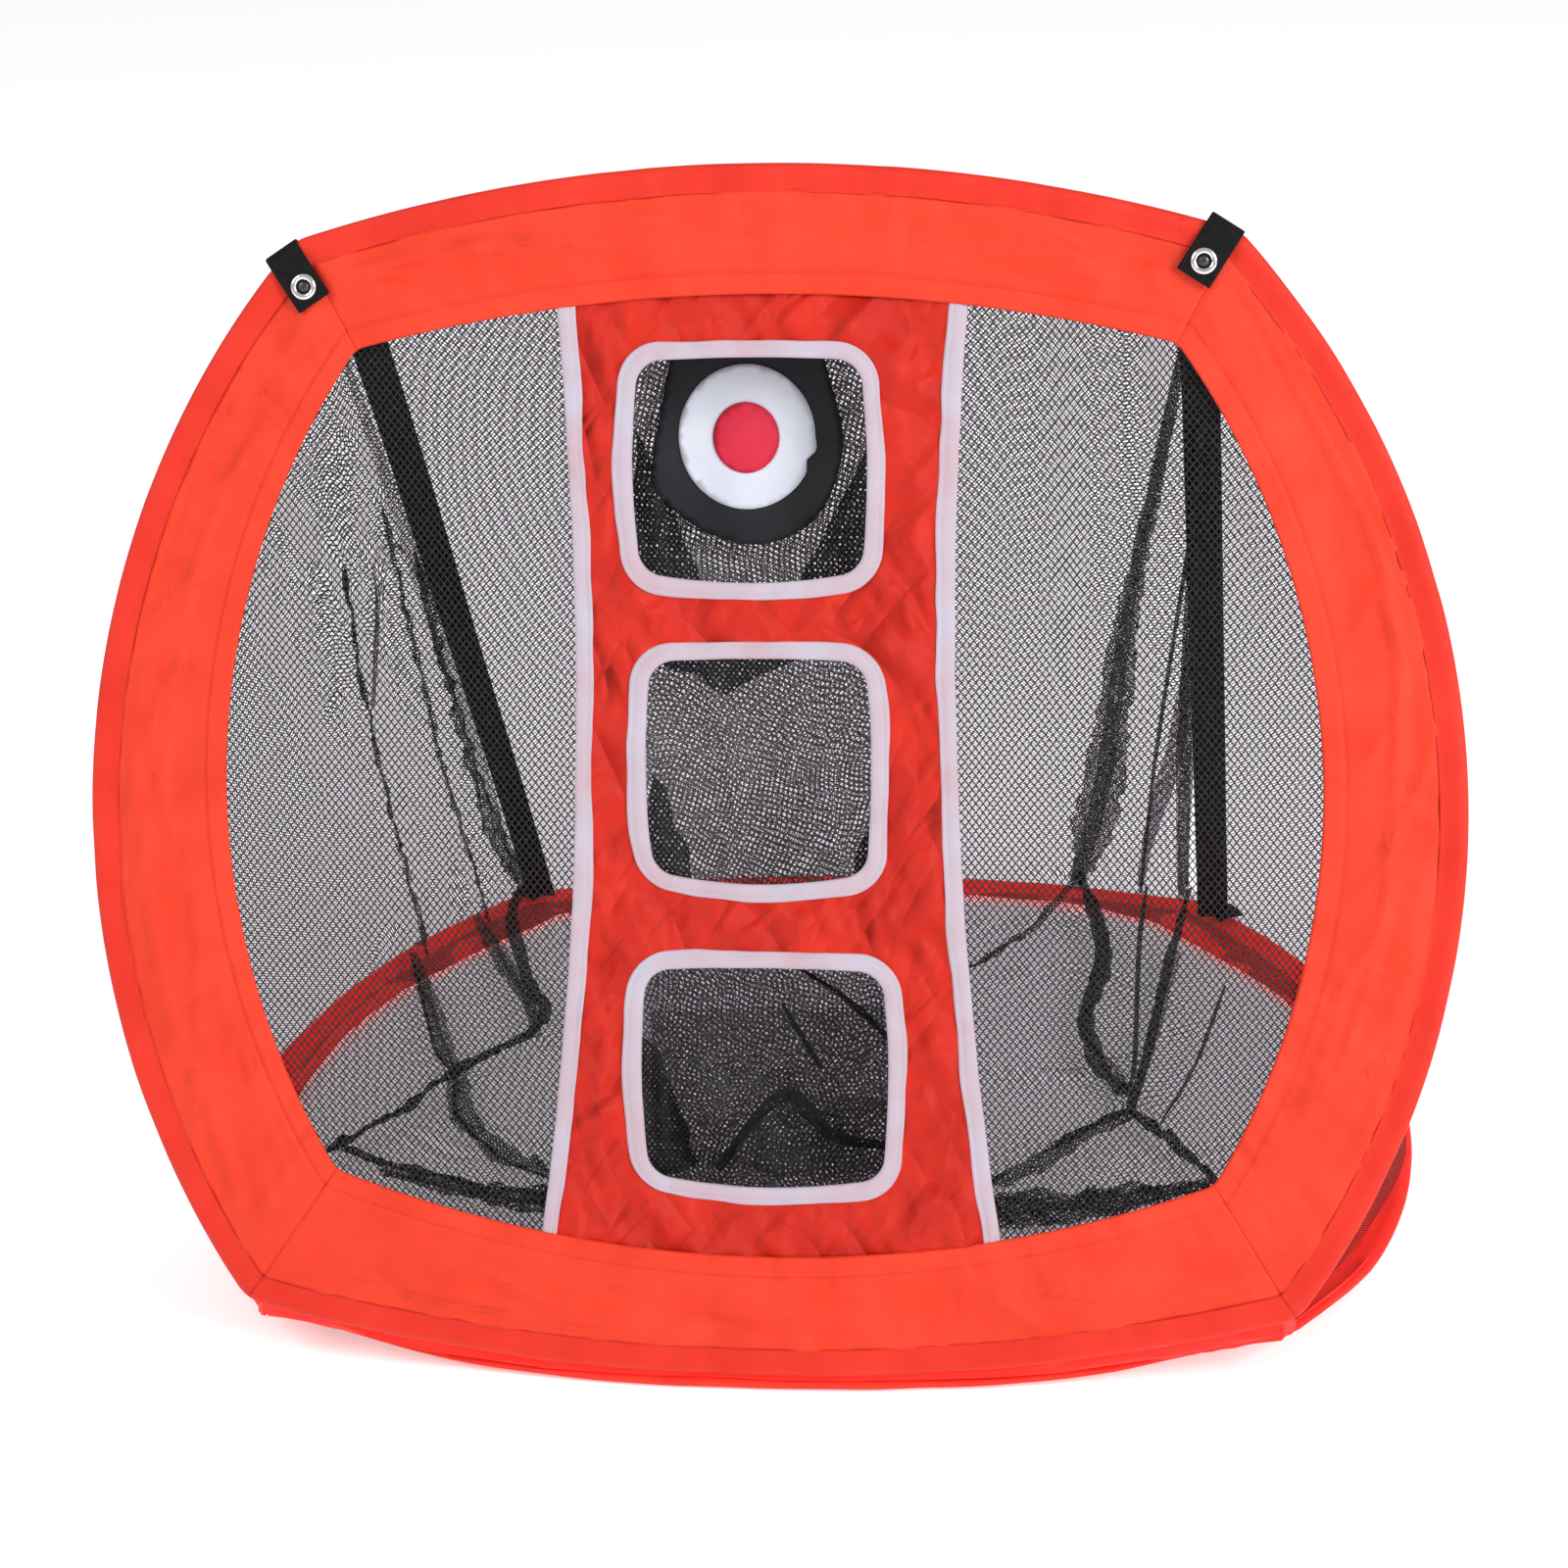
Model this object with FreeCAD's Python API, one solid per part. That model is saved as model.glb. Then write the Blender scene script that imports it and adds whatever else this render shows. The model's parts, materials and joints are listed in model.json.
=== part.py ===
import FreeCAD, Part
import os
from math import atan2, cos, degrees, hypot, pi, sin

# Golf chipping net: a spring-steel hoop panel with three taped target holes stands on an
# equal hoop that lies on the ground.  The hoops meet along the front bottom edge, nets
# close the back and sides, and two webbing straps hold the panel at its leaning angle.
# Units are millimetres, +Z is up, the panel faces -Y, and the origin is on the ground
# under the middle of the bounding box.

# ---- hoops: one outline serves the leaning panel and the ground hoop ----
BOTTOM_HALF_WIDTH = 264.0       # corner to centre line, at the shared front edge
TOP_HALF_WIDTH = 229.0          # corner to centre line, at the far edge
BOTTOM_CORNER_V = 36.0          # height of the near corners above the lowest point
TOP_CORNER_V = 571.0
BOTTOM_BULGE = 36.0
TOP_BULGE = 34.5
SIDE_BULGE = 95.0
CORNER_RADIUS = 22.0

SLEEVE_WIDTH = 14.0             # folded fabric casing round the hoop wire
SLEEVE_THICKNESS = 5.0
SLEEVE_ROUNDING = 1.5
TUNNEL_RADIUS = 2.05
WIRE_RADIUS = 1.4
WIRE_GAP = 2.0                  # where the two wire ends meet inside the ferrule
FERRULE_RADIUS = 1.95
FERRULE_LENGTH = 24.0

# ---- the leaning panel ----
LEAN_DEG = 15.3                 # back from the vertical
HINGE_Y = 2.5                   # behind the front edge of the ground hoop
HINGE_Z = 7.8                   # clears the ground sleeve through the whole fold
FABRIC = 0.8                    # thickness of one layer of cloth or net
LAYER_GAP = 0.1

OPENING_BOTTOM_HALF_WIDTH = 222.0
OPENING_TOP_HALF_WIDTH = 200.0
OPENING_BOTTOM_V = 104.0
OPENING_TOP_V = 518.0
OPENING_BOTTOM_BULGE = 41.5
OPENING_TOP_BULGE = 25.0
OPENING_SIDE_BULGE = 61.0
OPENING_CORNER_RADIUS = 12.0
MITRE_REACH_OUT = 260.0         # cutting planes of the mitre seams run past the bulges
MITRE_REACH_IN = 30.0

STRIP_BOTTOM_V = 50.0
STRIP_WAIST_V = 343.0
STRIP_TOP_V = 553.0
STRIP_BOTTOM_HALF_WIDTH = 119.0
STRIP_WAIST_HALF_WIDTH = 93.5
STRIP_TOP_HALF_WIDTH = 100.8
TAPE_WIDTH = 9.0
TAPE_END_GAP = 14.0             # tape stops this far short of the strip's ends
TAPE_SKIN = 0.6                 # tape layer on each face of the strip

# each target hole: name, centre u, centre v, width, height
TARGET_HOLES = [
    ("top", -6.4, 458.0, 115.0, 110.0),
    ("middle", -3.6, 309.5, 112.0, 113.0),
    ("bottom", -1.9, 154.5, 124.0, 113.0),
]
HOLE_CORNER_RADIUS = 14.0
HOLE_SIDE_BULGE = 3.0
HOLE_TOP_BULGE = 2.0
HOLE_BOTTOM_BULGE = 6.0
HOLE_EDGE_INSIDE_TAPE = 2.0     # cloth edge sits this far inside the binding

WINDOW_OVERLAP = 8.0            # net hidden behind the border
WINDOW_UNDER_STRIP = 6.0        # net hidden behind the strip's tape

POCKET_HALF_WIDTH = 84.0
POCKET_TOP_V = 530.0
POCKET_KNEE_V = 380.0
POCKET_BOTTOM_V = 66.0
POCKET_TOP_DEPTH = 54.0
POCKET_KNEE_DEPTH = 60.0
POCKET_BOTTOM_DEPTH = 115.0
POCKET_FRONT_N = -4.2

TARGET_CENTRE_U = -8.0
TARGET_CENTRE_V = 463.0
TARGET_RADIUS = 46.0
TARGET_RING_RADIUS = 34.5
TARGET_BULL_RADIUS = 16.5
TARGET_DEPTH = 52.0
TARGET_PRINT = 0.4

# ---- webbing tabs with snaps at the top corners ----
TAB_WIDTH = 19.0
TAB_LENGTH = 30.0
WEBBING = 1.4
TAB_HINGE_T = -1.1              # just outside the hoop's edge
TAB_HINGE_N = 3.6
SNAP_T = 20.5
SNAP_RADIUS = 7.5
SNAP_BORE_RADIUS = 3.0
STUD_RADIUS = 2.6
STUD_PLATE_RADIUS = 5.8

# ---- straps, nets and the seam between the hoops ----
STRAP_WIDTH = 20.0
STRAP_TOP_U = 212.0
STRAP_TOP_V_POSITION = 545.0
STRAP_TOP_N = -6.5
STRAP_FOOT_U = 208.0
STRAP_FOOT_W = 549.0
STRAP_FOOT_Z = 7.0
ANCHOR_LENGTH = 22.0
ANCHOR_WIDTH = 22.0
NET_SEAM_INSET = 14.5
NET_WALL = 1.0
FLOOR_NET_Z = 1.6
GUSSET_HALF_WIDTH = 246.0

UP = FreeCAD.Vector(0, 0, 1)
DEPTH = TOP_CORNER_V + TOP_BULGE
BASE_Y = -DEPTH / 2
BASE_PLACEMENT = FreeCAD.Placement(FreeCAD.Vector(0, BASE_Y, 0), FreeCAD.Rotation())
PANEL_PLACEMENT = FreeCAD.Placement(
    FreeCAD.Vector(0, BASE_Y + HINGE_Y, HINGE_Z),
    FreeCAD.Rotation(FreeCAD.Vector(1, 0, 0), 90 - LEAN_DEG),
)


class Outline:
    """A closed outline of four outward-bulging arcs joined by rounded corners.

    Corners run anticlockwise from the near left, and side i joins corner i to corner i+1.
    """

    def __init__(self, corners, bulges, corner_radius):
        self.corners = corners
        self.corner_radius = corner_radius
        self.centres = []
        self.radii = []
        for i in range(4):
            centre, radius = bulging_circle(corners[i], corners[(i + 1) % 4], bulges[i])
            self.centres.append(centre)
            self.radii.append(radius)
        self.corner_centres = [self.round_corner(i) for i in range(4)]

    def round_corner(self, i):
        """Centre of the rounding between side i and the next side."""
        j = (i + 1) % 4
        near = self.corners[j]
        r1 = self.radii[i] - self.corner_radius
        r2 = self.radii[j] - self.corner_radius
        return circles_meet(self.centres[i], r1, self.centres[j], r2, near)

    def side_angles(self, i):
        """Start and end angle of side i about its own centre."""
        start = angle_to(self.centres[i], self.corner_centres[i - 1])
        end = angle_to(self.centres[i], self.corner_centres[i])
        return start, unwrap(end, start)

    def corner_angles(self, i):
        """Start and end angle of the rounding that follows side i."""
        start = angle_to(self.centres[i], self.corner_centres[i])
        end = angle_to(self.centres[(i + 1) % 4], self.corner_centres[i])
        return start, unwrap(end, start)

    def spans(self, inset=0.0):
        """Every arc in order, as (centre, radius, start angle, end angle)."""
        found = []
        for i in range(4):
            found.append((self.centres[i], self.radii[i] - inset, *self.side_angles(i)))
            corner = (self.corner_centres[i], self.corner_radius - inset)
            found.append((*corner, *self.corner_angles(i)))
        return found

    def side_spans(self, i):
        """Side i with the half of each rounding that belongs to it."""
        a0, a1 = self.corner_angles((i - 1) % 4)
        b0, b1 = self.corner_angles(i)
        before = (self.corner_centres[i - 1], self.corner_radius, (a0 + a1) / 2, a1)
        side = (self.centres[i], self.radii[i], *self.side_angles(i))
        after = (self.corner_centres[i], self.corner_radius, b0, (b0 + b1) / 2)
        return [before, side, after]

    def face(self, inset=0.0):
        return Part.Face(Part.Wire([arc_edge(*span) for span in self.spans(inset)]))


def bulging_circle(p, q, bulge):
    """Centre and radius of the arc from p to q that bulges to the right of its travel."""
    chord = hypot(q[0] - p[0], q[1] - p[1])
    radius = (chord * chord / 4 + bulge * bulge) / (2 * bulge)
    left = (-(q[1] - p[1]) / chord, (q[0] - p[0]) / chord)
    step = radius - bulge
    centre = ((p[0] + q[0]) / 2 + left[0] * step, (p[1] + q[1]) / 2 + left[1] * step)
    return centre, radius


def circles_meet(c1, r1, c2, r2, near):
    """The crossing of two circles that lies nearest to a given point."""
    gap = hypot(c2[0] - c1[0], c2[1] - c1[1])
    along = (gap * gap + r1 * r1 - r2 * r2) / (2 * gap)
    across = (r1 * r1 - along * along) ** 0.5
    ux = (c2[0] - c1[0]) / gap
    uy = (c2[1] - c1[1]) / gap
    options = []
    for side in (-1, 1):
        x = c1[0] + ux * along - uy * across * side
        y = c1[1] + uy * along + ux * across * side
        options.append((hypot(x - near[0], y - near[1]), (x, y)))
    return min(options)[1]


def angle_to(centre, point):
    return atan2(point[1] - centre[1], point[0] - centre[0])


def unwrap(angle, start):
    """The angle, raised by whole turns until it follows the start."""
    while angle < start:
        angle += 2 * pi
    return angle


def arc_edge(centre, radius, start, end):
    circle = Part.Circle(FreeCAD.Vector(centre[0], centre[1], 0), UP, radius)
    return Part.ArcOfCircle(circle, start, end).toShape()


def line_edge(p, q):
    return Part.LineSegment(FreeCAD.Vector(*p), FreeCAD.Vector(*q)).toShape()


def polygon_face(points):
    vectors = [FreeCAD.Vector(*p) for p in points]
    return Part.Face(Part.makePolygon(vectors + vectors[:1]))


def plate(face, low, high):
    """A flat solid between two heights above the outline's own plane."""
    lifted = face.translated(FreeCAD.Vector(0, 0, low))
    return lifted.extrude(FreeCAD.Vector(0, 0, high - low))


def box(x0, x1, y0, y1, z0, z1):
    return Part.makeBox(x1 - x0, y1 - y0, z1 - z0, FreeCAD.Vector(x0, y0, z0))


def tube(outer, inner, low, high):
    outside = Part.makeCylinder(outer, high - low, FreeCAD.Vector(0, 0, low))
    return outside.cut(Part.makeCylinder(inner, high - low, FreeCAD.Vector(0, 0, low)))


def joined(solids):
    first, rest = solids[0], solids[1:]
    return first.multiFuse(rest).removeSplitter()


def symmetric_outline(low_half, high_half, low_v, high_v, bulges, radius):
    corners = [(-low_half, low_v), (low_half, low_v), (high_half, high_v), (-high_half, high_v)]
    return Outline(corners, bulges, radius)


HOOP = symmetric_outline(
    BOTTOM_HALF_WIDTH, TOP_HALF_WIDTH, BOTTOM_CORNER_V, TOP_CORNER_V,
    [BOTTOM_BULGE, SIDE_BULGE, TOP_BULGE, SIDE_BULGE], CORNER_RADIUS,
)
OPENING = symmetric_outline(
    OPENING_BOTTOM_HALF_WIDTH, OPENING_TOP_HALF_WIDTH, OPENING_BOTTOM_V, OPENING_TOP_V,
    [OPENING_BOTTOM_BULGE, OPENING_SIDE_BULGE, OPENING_TOP_BULGE, OPENING_SIDE_BULGE],
    OPENING_CORNER_RADIUS,
)
BOTTOM, RIGHT, TOP, LEFT = 0, 1, 2, 3
PARTS = {}


def keep(name, shape, placement):
    """Store one sub-part, moved from its flat drawing plane to its place."""
    placed = shape.copy()
    placed.Placement = placement.multiply(placed.Placement)
    PARTS[name] = placed


# ---- hoops ----

def swept(section, span):
    """The section, drawn at radius zero, carried round one arc of an outline."""
    centre, radius, start, end = span
    pivot = FreeCAD.Vector(centre[0], centre[1], 0)
    placed = section.translated(FreeCAD.Vector(radius, 0, 0))
    placed.rotate(FreeCAD.Vector(0, 0, 0), UP, degrees(start))
    placed.translate(pivot)
    return placed.revolve(pivot, UP, degrees(end - start))


def sleeve_section():
    """Rounded fabric casing with the wire's tunnel, lying inward of the outline."""
    half = SLEEVE_THICKNESS / 2
    r = SLEEVE_ROUNDING
    w = SLEEVE_WIDTH
    blank = box(-w, 0, 0, 1, -half, half)
    edges = [e for e in blank.Edges if abs(e.BoundBox.YLength - 1) < 1e-6]
    rounded = blank.makeFillet(r, edges)
    flat = min(rounded.Faces, key=lambda f: f.BoundBox.YMax)
    tunnel = round_section(TUNNEL_RADIUS)
    return flat.cut(tunnel).Faces[0]


def round_section(radius):
    middle = FreeCAD.Vector(-SLEEVE_WIDTH / 2, 0, 0)
    circle = Part.Circle(middle, FreeCAD.Vector(0, 1, 0), radius).toShape()
    return Part.Face(Part.Wire([circle]))


def hoop_sleeve(side):
    section = sleeve_section()
    return joined([swept(section, span) for span in HOOP.side_spans(side)])


def far_middle_span(length):
    """A short arc at the middle of the outline's far side."""
    start, end = HOOP.side_angles(TOP)
    middle = (start + end) / 2
    half = length / 2 / (HOOP.radii[TOP] - SLEEVE_WIDTH / 2)
    return (HOOP.centres[TOP], HOOP.radii[TOP], middle - half, middle + half)


def hoop_wire():
    section = round_section(WIRE_RADIUS)
    ring = joined([swept(section, span) for span in HOOP.spans()])
    far_v = TOP_CORNER_V + TOP_BULGE
    gap = box(-WIRE_GAP / 2, WIRE_GAP / 2, far_v - SLEEVE_WIDTH, far_v, -5, 5)
    return ring.cut(gap)


def hoop_ferrule():
    section = round_section(FERRULE_RADIUS).cut(round_section(WIRE_RADIUS + 0.02)).Faces[0]
    return swept(section, far_middle_span(FERRULE_LENGTH))


def make_hoop(prefix, names, placement):
    keep(prefix + "_hoop_wire", hoop_wire(), placement)
    keep(prefix + "_hoop_ferrule", hoop_ferrule(), placement)
    for side, name in enumerate(names):
        keep(prefix + "_sleeve_" + name, hoop_sleeve(side), placement)


# ---- panel fabric ----

def mitre_wedge(side):
    """The part of the border plane between the mitre seams at the ends of one side."""
    near = OPENING.corners[side]
    far = OPENING.corners[(side + 1) % 4]
    near_out = HOOP.corners[side]
    far_out = HOOP.corners[(side + 1) % 4]
    points = [
        beyond(near_out, near, MITRE_REACH_IN),
        beyond(near, near_out, MITRE_REACH_OUT),
        beyond(far, far_out, MITRE_REACH_OUT),
        beyond(far_out, far, MITRE_REACH_IN),
    ]
    return plate(polygon_face([(x, y, 0) for x, y in points]), -5, 5)


def beyond(p, q, reach):
    """The point a given distance past q on the line from p."""
    length = hypot(q[0] - p[0], q[1] - p[1])
    return (q[0] + (q[0] - p[0]) * reach / length, q[1] + (q[1] - p[1]) * reach / length)


def make_border():
    ring = HOOP.face(SLEEVE_WIDTH).cut(OPENING.face())
    cloth = plate(ring, -FABRIC / 2, FABRIC / 2)
    for side, name in ((BOTTOM, "bottom"), (RIGHT, "right"), (TOP, "top"), (LEFT, "left")):
        keep("border_" + name, cloth.common(mitre_wedge(side)), PANEL_PLACEMENT)


def strip_edge_points(side, inset):
    """Three points on one long edge of the centre strip: bottom, waist and top."""
    return [
        (side * (STRIP_BOTTOM_HALF_WIDTH - inset), STRIP_BOTTOM_V),
        (side * (STRIP_WAIST_HALF_WIDTH - inset), STRIP_WAIST_V),
        (side * (STRIP_TOP_HALF_WIDTH - inset), STRIP_TOP_V),
    ]


def band_face(left_points, right_points):
    """A face between two three-point arcs that both run upward."""
    left = [FreeCAD.Vector(x, y, 0) for x, y in left_points]
    right = [FreeCAD.Vector(x, y, 0) for x, y in right_points]
    edges = [
        Part.Arc(*right).toShape(),
        Part.LineSegment(right[2], left[2]).toShape(),
        Part.Arc(*reversed(left)).toShape(),
        Part.LineSegment(left[0], right[0]).toShape(),
    ]
    return Part.Face(Part.Wire(edges))


def hole_outline(u, v, width, height):
    corners = [
        (u - width / 2 + HOLE_SIDE_BULGE, v - height / 2 + HOLE_BOTTOM_BULGE),
        (u + width / 2 - HOLE_SIDE_BULGE, v - height / 2 + HOLE_BOTTOM_BULGE),
        (u + width / 2 - HOLE_SIDE_BULGE, v + height / 2 - HOLE_TOP_BULGE),
        (u - width / 2 + HOLE_SIDE_BULGE, v + height / 2 - HOLE_TOP_BULGE),
    ]
    bulges = [HOLE_BOTTOM_BULGE, HOLE_SIDE_BULGE, HOLE_TOP_BULGE, HOLE_SIDE_BULGE]
    return Outline(corners, bulges, HOLE_CORNER_RADIUS)


TAPE_FRONT = -FABRIC / 2 - LAYER_GAP
STRIP_FRONT = TAPE_FRONT - TAPE_SKIN
STRIP_BACK = STRIP_FRONT - FABRIC
TAPE_BACK = STRIP_BACK - TAPE_SKIN
WINDOW_FRONT = TAPE_BACK - LAYER_GAP
WINDOW_BACK = WINDOW_FRONT - FABRIC


def strip_blank():
    face = band_face(strip_edge_points(-1, 0), strip_edge_points(1, 0))
    return plate(face, STRIP_BACK, STRIP_FRONT)


def make_strip():
    strip = strip_blank()
    for _, u, v, width, height in TARGET_HOLES:
        cutter = hole_outline(u, v, width, height).face(-HOLE_EDGE_INSIDE_TAPE)
        strip = strip.cut(plate(cutter, STRIP_BACK - 1, STRIP_FRONT + 1))
    keep("centre_strip", strip, PANEL_PLACEMENT)

    tape_zone = box(-200, 200, STRIP_BOTTOM_V + TAPE_END_GAP, STRIP_TOP_V - TAPE_END_GAP, -9, 9)
    for side, name in ((-1, "left"), (1, "right")):
        outer = strip_edge_points(side, -0.8)
        inner = strip_edge_points(side, TAPE_WIDTH)
        pair = (outer, inner) if side < 0 else (inner, outer)
        tape = plate(band_face(*pair), TAPE_BACK, TAPE_FRONT)
        binding = tape.common(tape_zone).cut(strip)
        keep("strip_tape_" + name, binding, PANEL_PLACEMENT)

    for name, u, v, width, height in TARGET_HOLES:
        outline = hole_outline(u, v, width, height)
        ring = outline.face(-TAPE_WIDTH).cut(outline.face())
        tape = plate(ring, TAPE_BACK, TAPE_FRONT).cut(strip)
        keep("hole_tape_" + name, tape, PANEL_PLACEMENT)


def make_windows():
    net = plate(OPENING.face(-WINDOW_OVERLAP), WINDOW_BACK, WINDOW_FRONT)
    under = band_face(
        strip_edge_points(-1, WINDOW_UNDER_STRIP), strip_edge_points(1, WINDOW_UNDER_STRIP)
    )
    net = net.cut(plate(under, WINDOW_BACK - 1, WINDOW_FRONT + 1))
    pieces = sorted(net.Solids, key=lambda s: s.CenterOfMass.x)
    side_pieces = [s for s in pieces if s.Volume > 1000]
    keep("window_net_left", side_pieces[0], PANEL_PLACEMENT)
    keep("window_net_right", side_pieces[-1], PANEL_PLACEMENT)


def pocket_profile(wall, front):
    """Side outline of the pocket in height and depth, shrunk by its wall."""
    return [
        (POCKET_TOP_V - wall, front),
        (POCKET_TOP_V - wall, -POCKET_TOP_DEPTH + wall),
        (POCKET_KNEE_V, -POCKET_KNEE_DEPTH + wall),
        (POCKET_BOTTOM_V + wall, -POCKET_BOTTOM_DEPTH + wall),
        (POCKET_BOTTOM_V + wall, front),
    ]


def pocket_block(wall, front):
    half = POCKET_HALF_WIDTH - wall
    points = [(-half, v, n) for v, n in pocket_profile(wall, front)]
    return polygon_face(points).extrude(FreeCAD.Vector(2 * half, 0, 0))


def make_pocket():
    bag = pocket_block(0, POCKET_FRONT_N).cut(pocket_block(NET_WALL, POCKET_FRONT_N + 5))
    keep("pocket_net", bag, PANEL_PLACEMENT)


def make_target():
    low = -TARGET_DEPTH
    centre = FreeCAD.Vector(TARGET_CENTRE_U, TARGET_CENTRE_V, 0)
    backing = Part.makeCylinder(TARGET_RADIUS, FABRIC, FreeCAD.Vector(0, 0, low - FABRIC))
    ring = tube(TARGET_RING_RADIUS, TARGET_BULL_RADIUS, low, low + TARGET_PRINT)
    bull = Part.makeCylinder(TARGET_BULL_RADIUS, TARGET_PRINT, FreeCAD.Vector(0, 0, low))
    for name, disc in (("backing", backing), ("ring", ring), ("bullseye", bull)):
        keep("target_" + name, disc.translated(centre), PANEL_PLACEMENT)


# ---- snap tabs ----

def tab_placement(corner):
    """Places a tab drawing (x across, y inward from the hoop's edge) at a top corner."""
    a0, a1 = HOOP.corner_angles(corner)
    outward = (a0 + a1) / 2
    centre = HOOP.corner_centres[corner]
    edge = FreeCAD.Vector(
        centre[0] + CORNER_RADIUS * cos(outward), centre[1] + CORNER_RADIUS * sin(outward), 0
    )
    turn = FreeCAD.Rotation(UP, degrees(outward) + 90)
    return PANEL_PLACEMENT.multiply(FreeCAD.Placement(edge, turn))


def tab_loop():
    """Webbing behind the hoop and round its edge, up to where the flap begins."""
    half = TAB_WIDTH / 2
    back_n = -SLEEVE_THICKNESS / 2 - 0.4
    outer_t = -0.4 - WEBBING
    rear = box(-half, half, outer_t, TAB_LENGTH, back_n - WEBBING, back_n)
    edge = box(-half, half, outer_t, -0.4, back_n - WEBBING, TAB_HINGE_N - 1.4)
    return joined([rear, edge])


def tab_flap():
    half = TAB_WIDTH / 2
    low = TAB_HINGE_N - WEBBING / 2
    flap = box(-half, half, TAB_HINGE_T + 0.8, TAB_LENGTH, low, low + WEBBING)
    bore = Part.makeCylinder(SNAP_BORE_RADIUS + 0.55, 10, FreeCAD.Vector(0, SNAP_T, 0))
    return flap.cut(bore)


def snap_cap():
    low = TAB_HINGE_N - WEBBING / 2
    high = low + WEBBING
    pieces = [
        tube(SNAP_RADIUS, SNAP_BORE_RADIUS, high + 0.05, high + 0.95),
        tube(SNAP_BORE_RADIUS + 0.5, SNAP_BORE_RADIUS, low - 0.4, high + 0.5),
        tube(SNAP_RADIUS - 1.5, SNAP_BORE_RADIUS, low - 0.45, low - 0.05),
    ]
    return joined(pieces).translated(FreeCAD.Vector(0, SNAP_T, 0))


def snap_stud():
    low = FABRIC / 2 + 0.05
    disc = Part.makeCylinder(STUD_PLATE_RADIUS, 0.8, FreeCAD.Vector(0, SNAP_T, low))
    knob = Part.makeCylinder(STUD_RADIUS, TAB_HINGE_N - low, FreeCAD.Vector(0, SNAP_T, low))
    return joined([disc, knob])


def make_tabs():
    for corner, name in ((RIGHT, "right"), (TOP, "left")):
        place = tab_placement(corner)
        keep("tab_loop_" + name, tab_loop(), place)
        keep("tab_flap_" + name, tab_flap(), place)
        keep("snap_cap_" + name, snap_cap(), place)
        keep("snap_stud_" + name, snap_stud(), place)
        pivot = place.multVec(FreeCAD.Vector(0, TAB_HINGE_T, TAB_HINGE_N))
        axis = place.Rotation.multVec(FreeCAD.Vector(1, 0, 0))
        print("tab hinge", name, [round(c, 4) for c in pivot], [round(c, 6) for c in axis])


# ---- nets and straps that span the two hoops ----

def arc_strip_wire(span, near, far):
    """A closed wire round the thin band between two insets of one outline arc."""
    centre, radius, start, end = span
    outer = arc_edge(centre, radius - near, start, end)
    inner = arc_edge(centre, radius - far, start, end)
    ends = []
    for angle in (start, end):
        p = (centre[0] + (radius - near) * cos(angle), centre[1] + (radius - near) * sin(angle), 0)
        q = (centre[0] + (radius - far) * cos(angle), centre[1] + (radius - far) * sin(angle), 0)
        ends.append(line_edge(p, q))
    return Part.Wire(Part.__sortEdges__([outer, ends[1], inner, ends[0]]))


def raised(wire, placement, height):
    lifted = wire.translated(FreeCAD.Vector(0, 0, height))
    lifted.Placement = placement.multiply(lifted.Placement)
    return lifted


def spanning_net(span, near, panel_n, base_z):
    """A thin ruled wall from an arc of the panel to the same arc of the ground hoop."""
    wire = arc_strip_wire(span, near, near + NET_WALL)
    on_panel = raised(wire, PANEL_PLACEMENT, panel_n)
    on_base = raised(wire, BASE_PLACEMENT, base_z)
    return Part.makeLoft([on_panel, on_base], True, True)


def outline_side(side):
    return (HOOP.centres[side], HOOP.radii[side], *HOOP.side_angles(side))


def make_spanning_nets():
    behind_border = -FABRIC / 2 - 0.8
    on_floor = FLOOR_NET_Z + FABRIC + 0.6
    stitched_on = [PARTS[n + s] for n in ("tab_loop_", "strap_anchor_") for s in ("left", "right")]
    for side, name in ((LEFT, "side_net_left"), (RIGHT, "side_net_right"), (TOP, "back_net")):
        net = spanning_net(outline_side(side), NET_SEAM_INSET, behind_border, on_floor)
        # the net is slit where webbing is sewn through it to a sleeve
        PARTS[name] = net.cut(stitched_on)
    centre, radius, _, _ = outline_side(BOTTOM)
    half_angle = GUSSET_HALF_WIDTH / radius
    seam = (centre, radius, -pi / 2 - half_angle, -pi / 2 + half_angle)
    above_sleeve = SLEEVE_THICKNESS + 0.4
    behind_sleeve = -SLEEVE_THICKNESS / 2 - 0.9
    PARTS["seam_gusset"] = spanning_net(seam, 7.0, behind_sleeve, above_sleeve)


def make_straps():
    for side, name in ((-1, "left"), (1, "right")):
        top = PANEL_PLACEMENT.multVec(
            FreeCAD.Vector(side * STRAP_TOP_U, STRAP_TOP_V_POSITION, STRAP_TOP_N)
        )
        foot = FreeCAD.Vector(side * STRAP_FOOT_U, BASE_Y + STRAP_FOOT_W, STRAP_FOOT_Z)
        run = top - foot
        strap = box(-STRAP_WIDTH / 2, STRAP_WIDTH / 2, -WEBBING / 2, WEBBING / 2, 0, run.Length)
        tilt = FreeCAD.Rotation(UP, run)
        strap.Placement = FreeCAD.Placement(foot, tilt)
        PARTS["strap_" + name] = strap
        middle_u = side * STRAP_FOOT_U
        low = SLEEVE_THICKNESS + 0.05
        half_wide = ANCHOR_WIDTH / 2
        half_long = ANCHOR_LENGTH / 2
        patch = box(
            middle_u - half_wide, middle_u + half_wide,
            STRAP_FOOT_W + 9 - half_long, STRAP_FOOT_W + 9 + half_long, low, low + WEBBING,
        )
        keep("strap_anchor_" + name, patch, BASE_PLACEMENT)


def make_floor():
    net = plate(HOOP.face(SLEEVE_WIDTH + 0.1), FLOOR_NET_Z, FLOOR_NET_Z + FABRIC)
    keep("floor_net", net, BASE_PLACEMENT)


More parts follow.
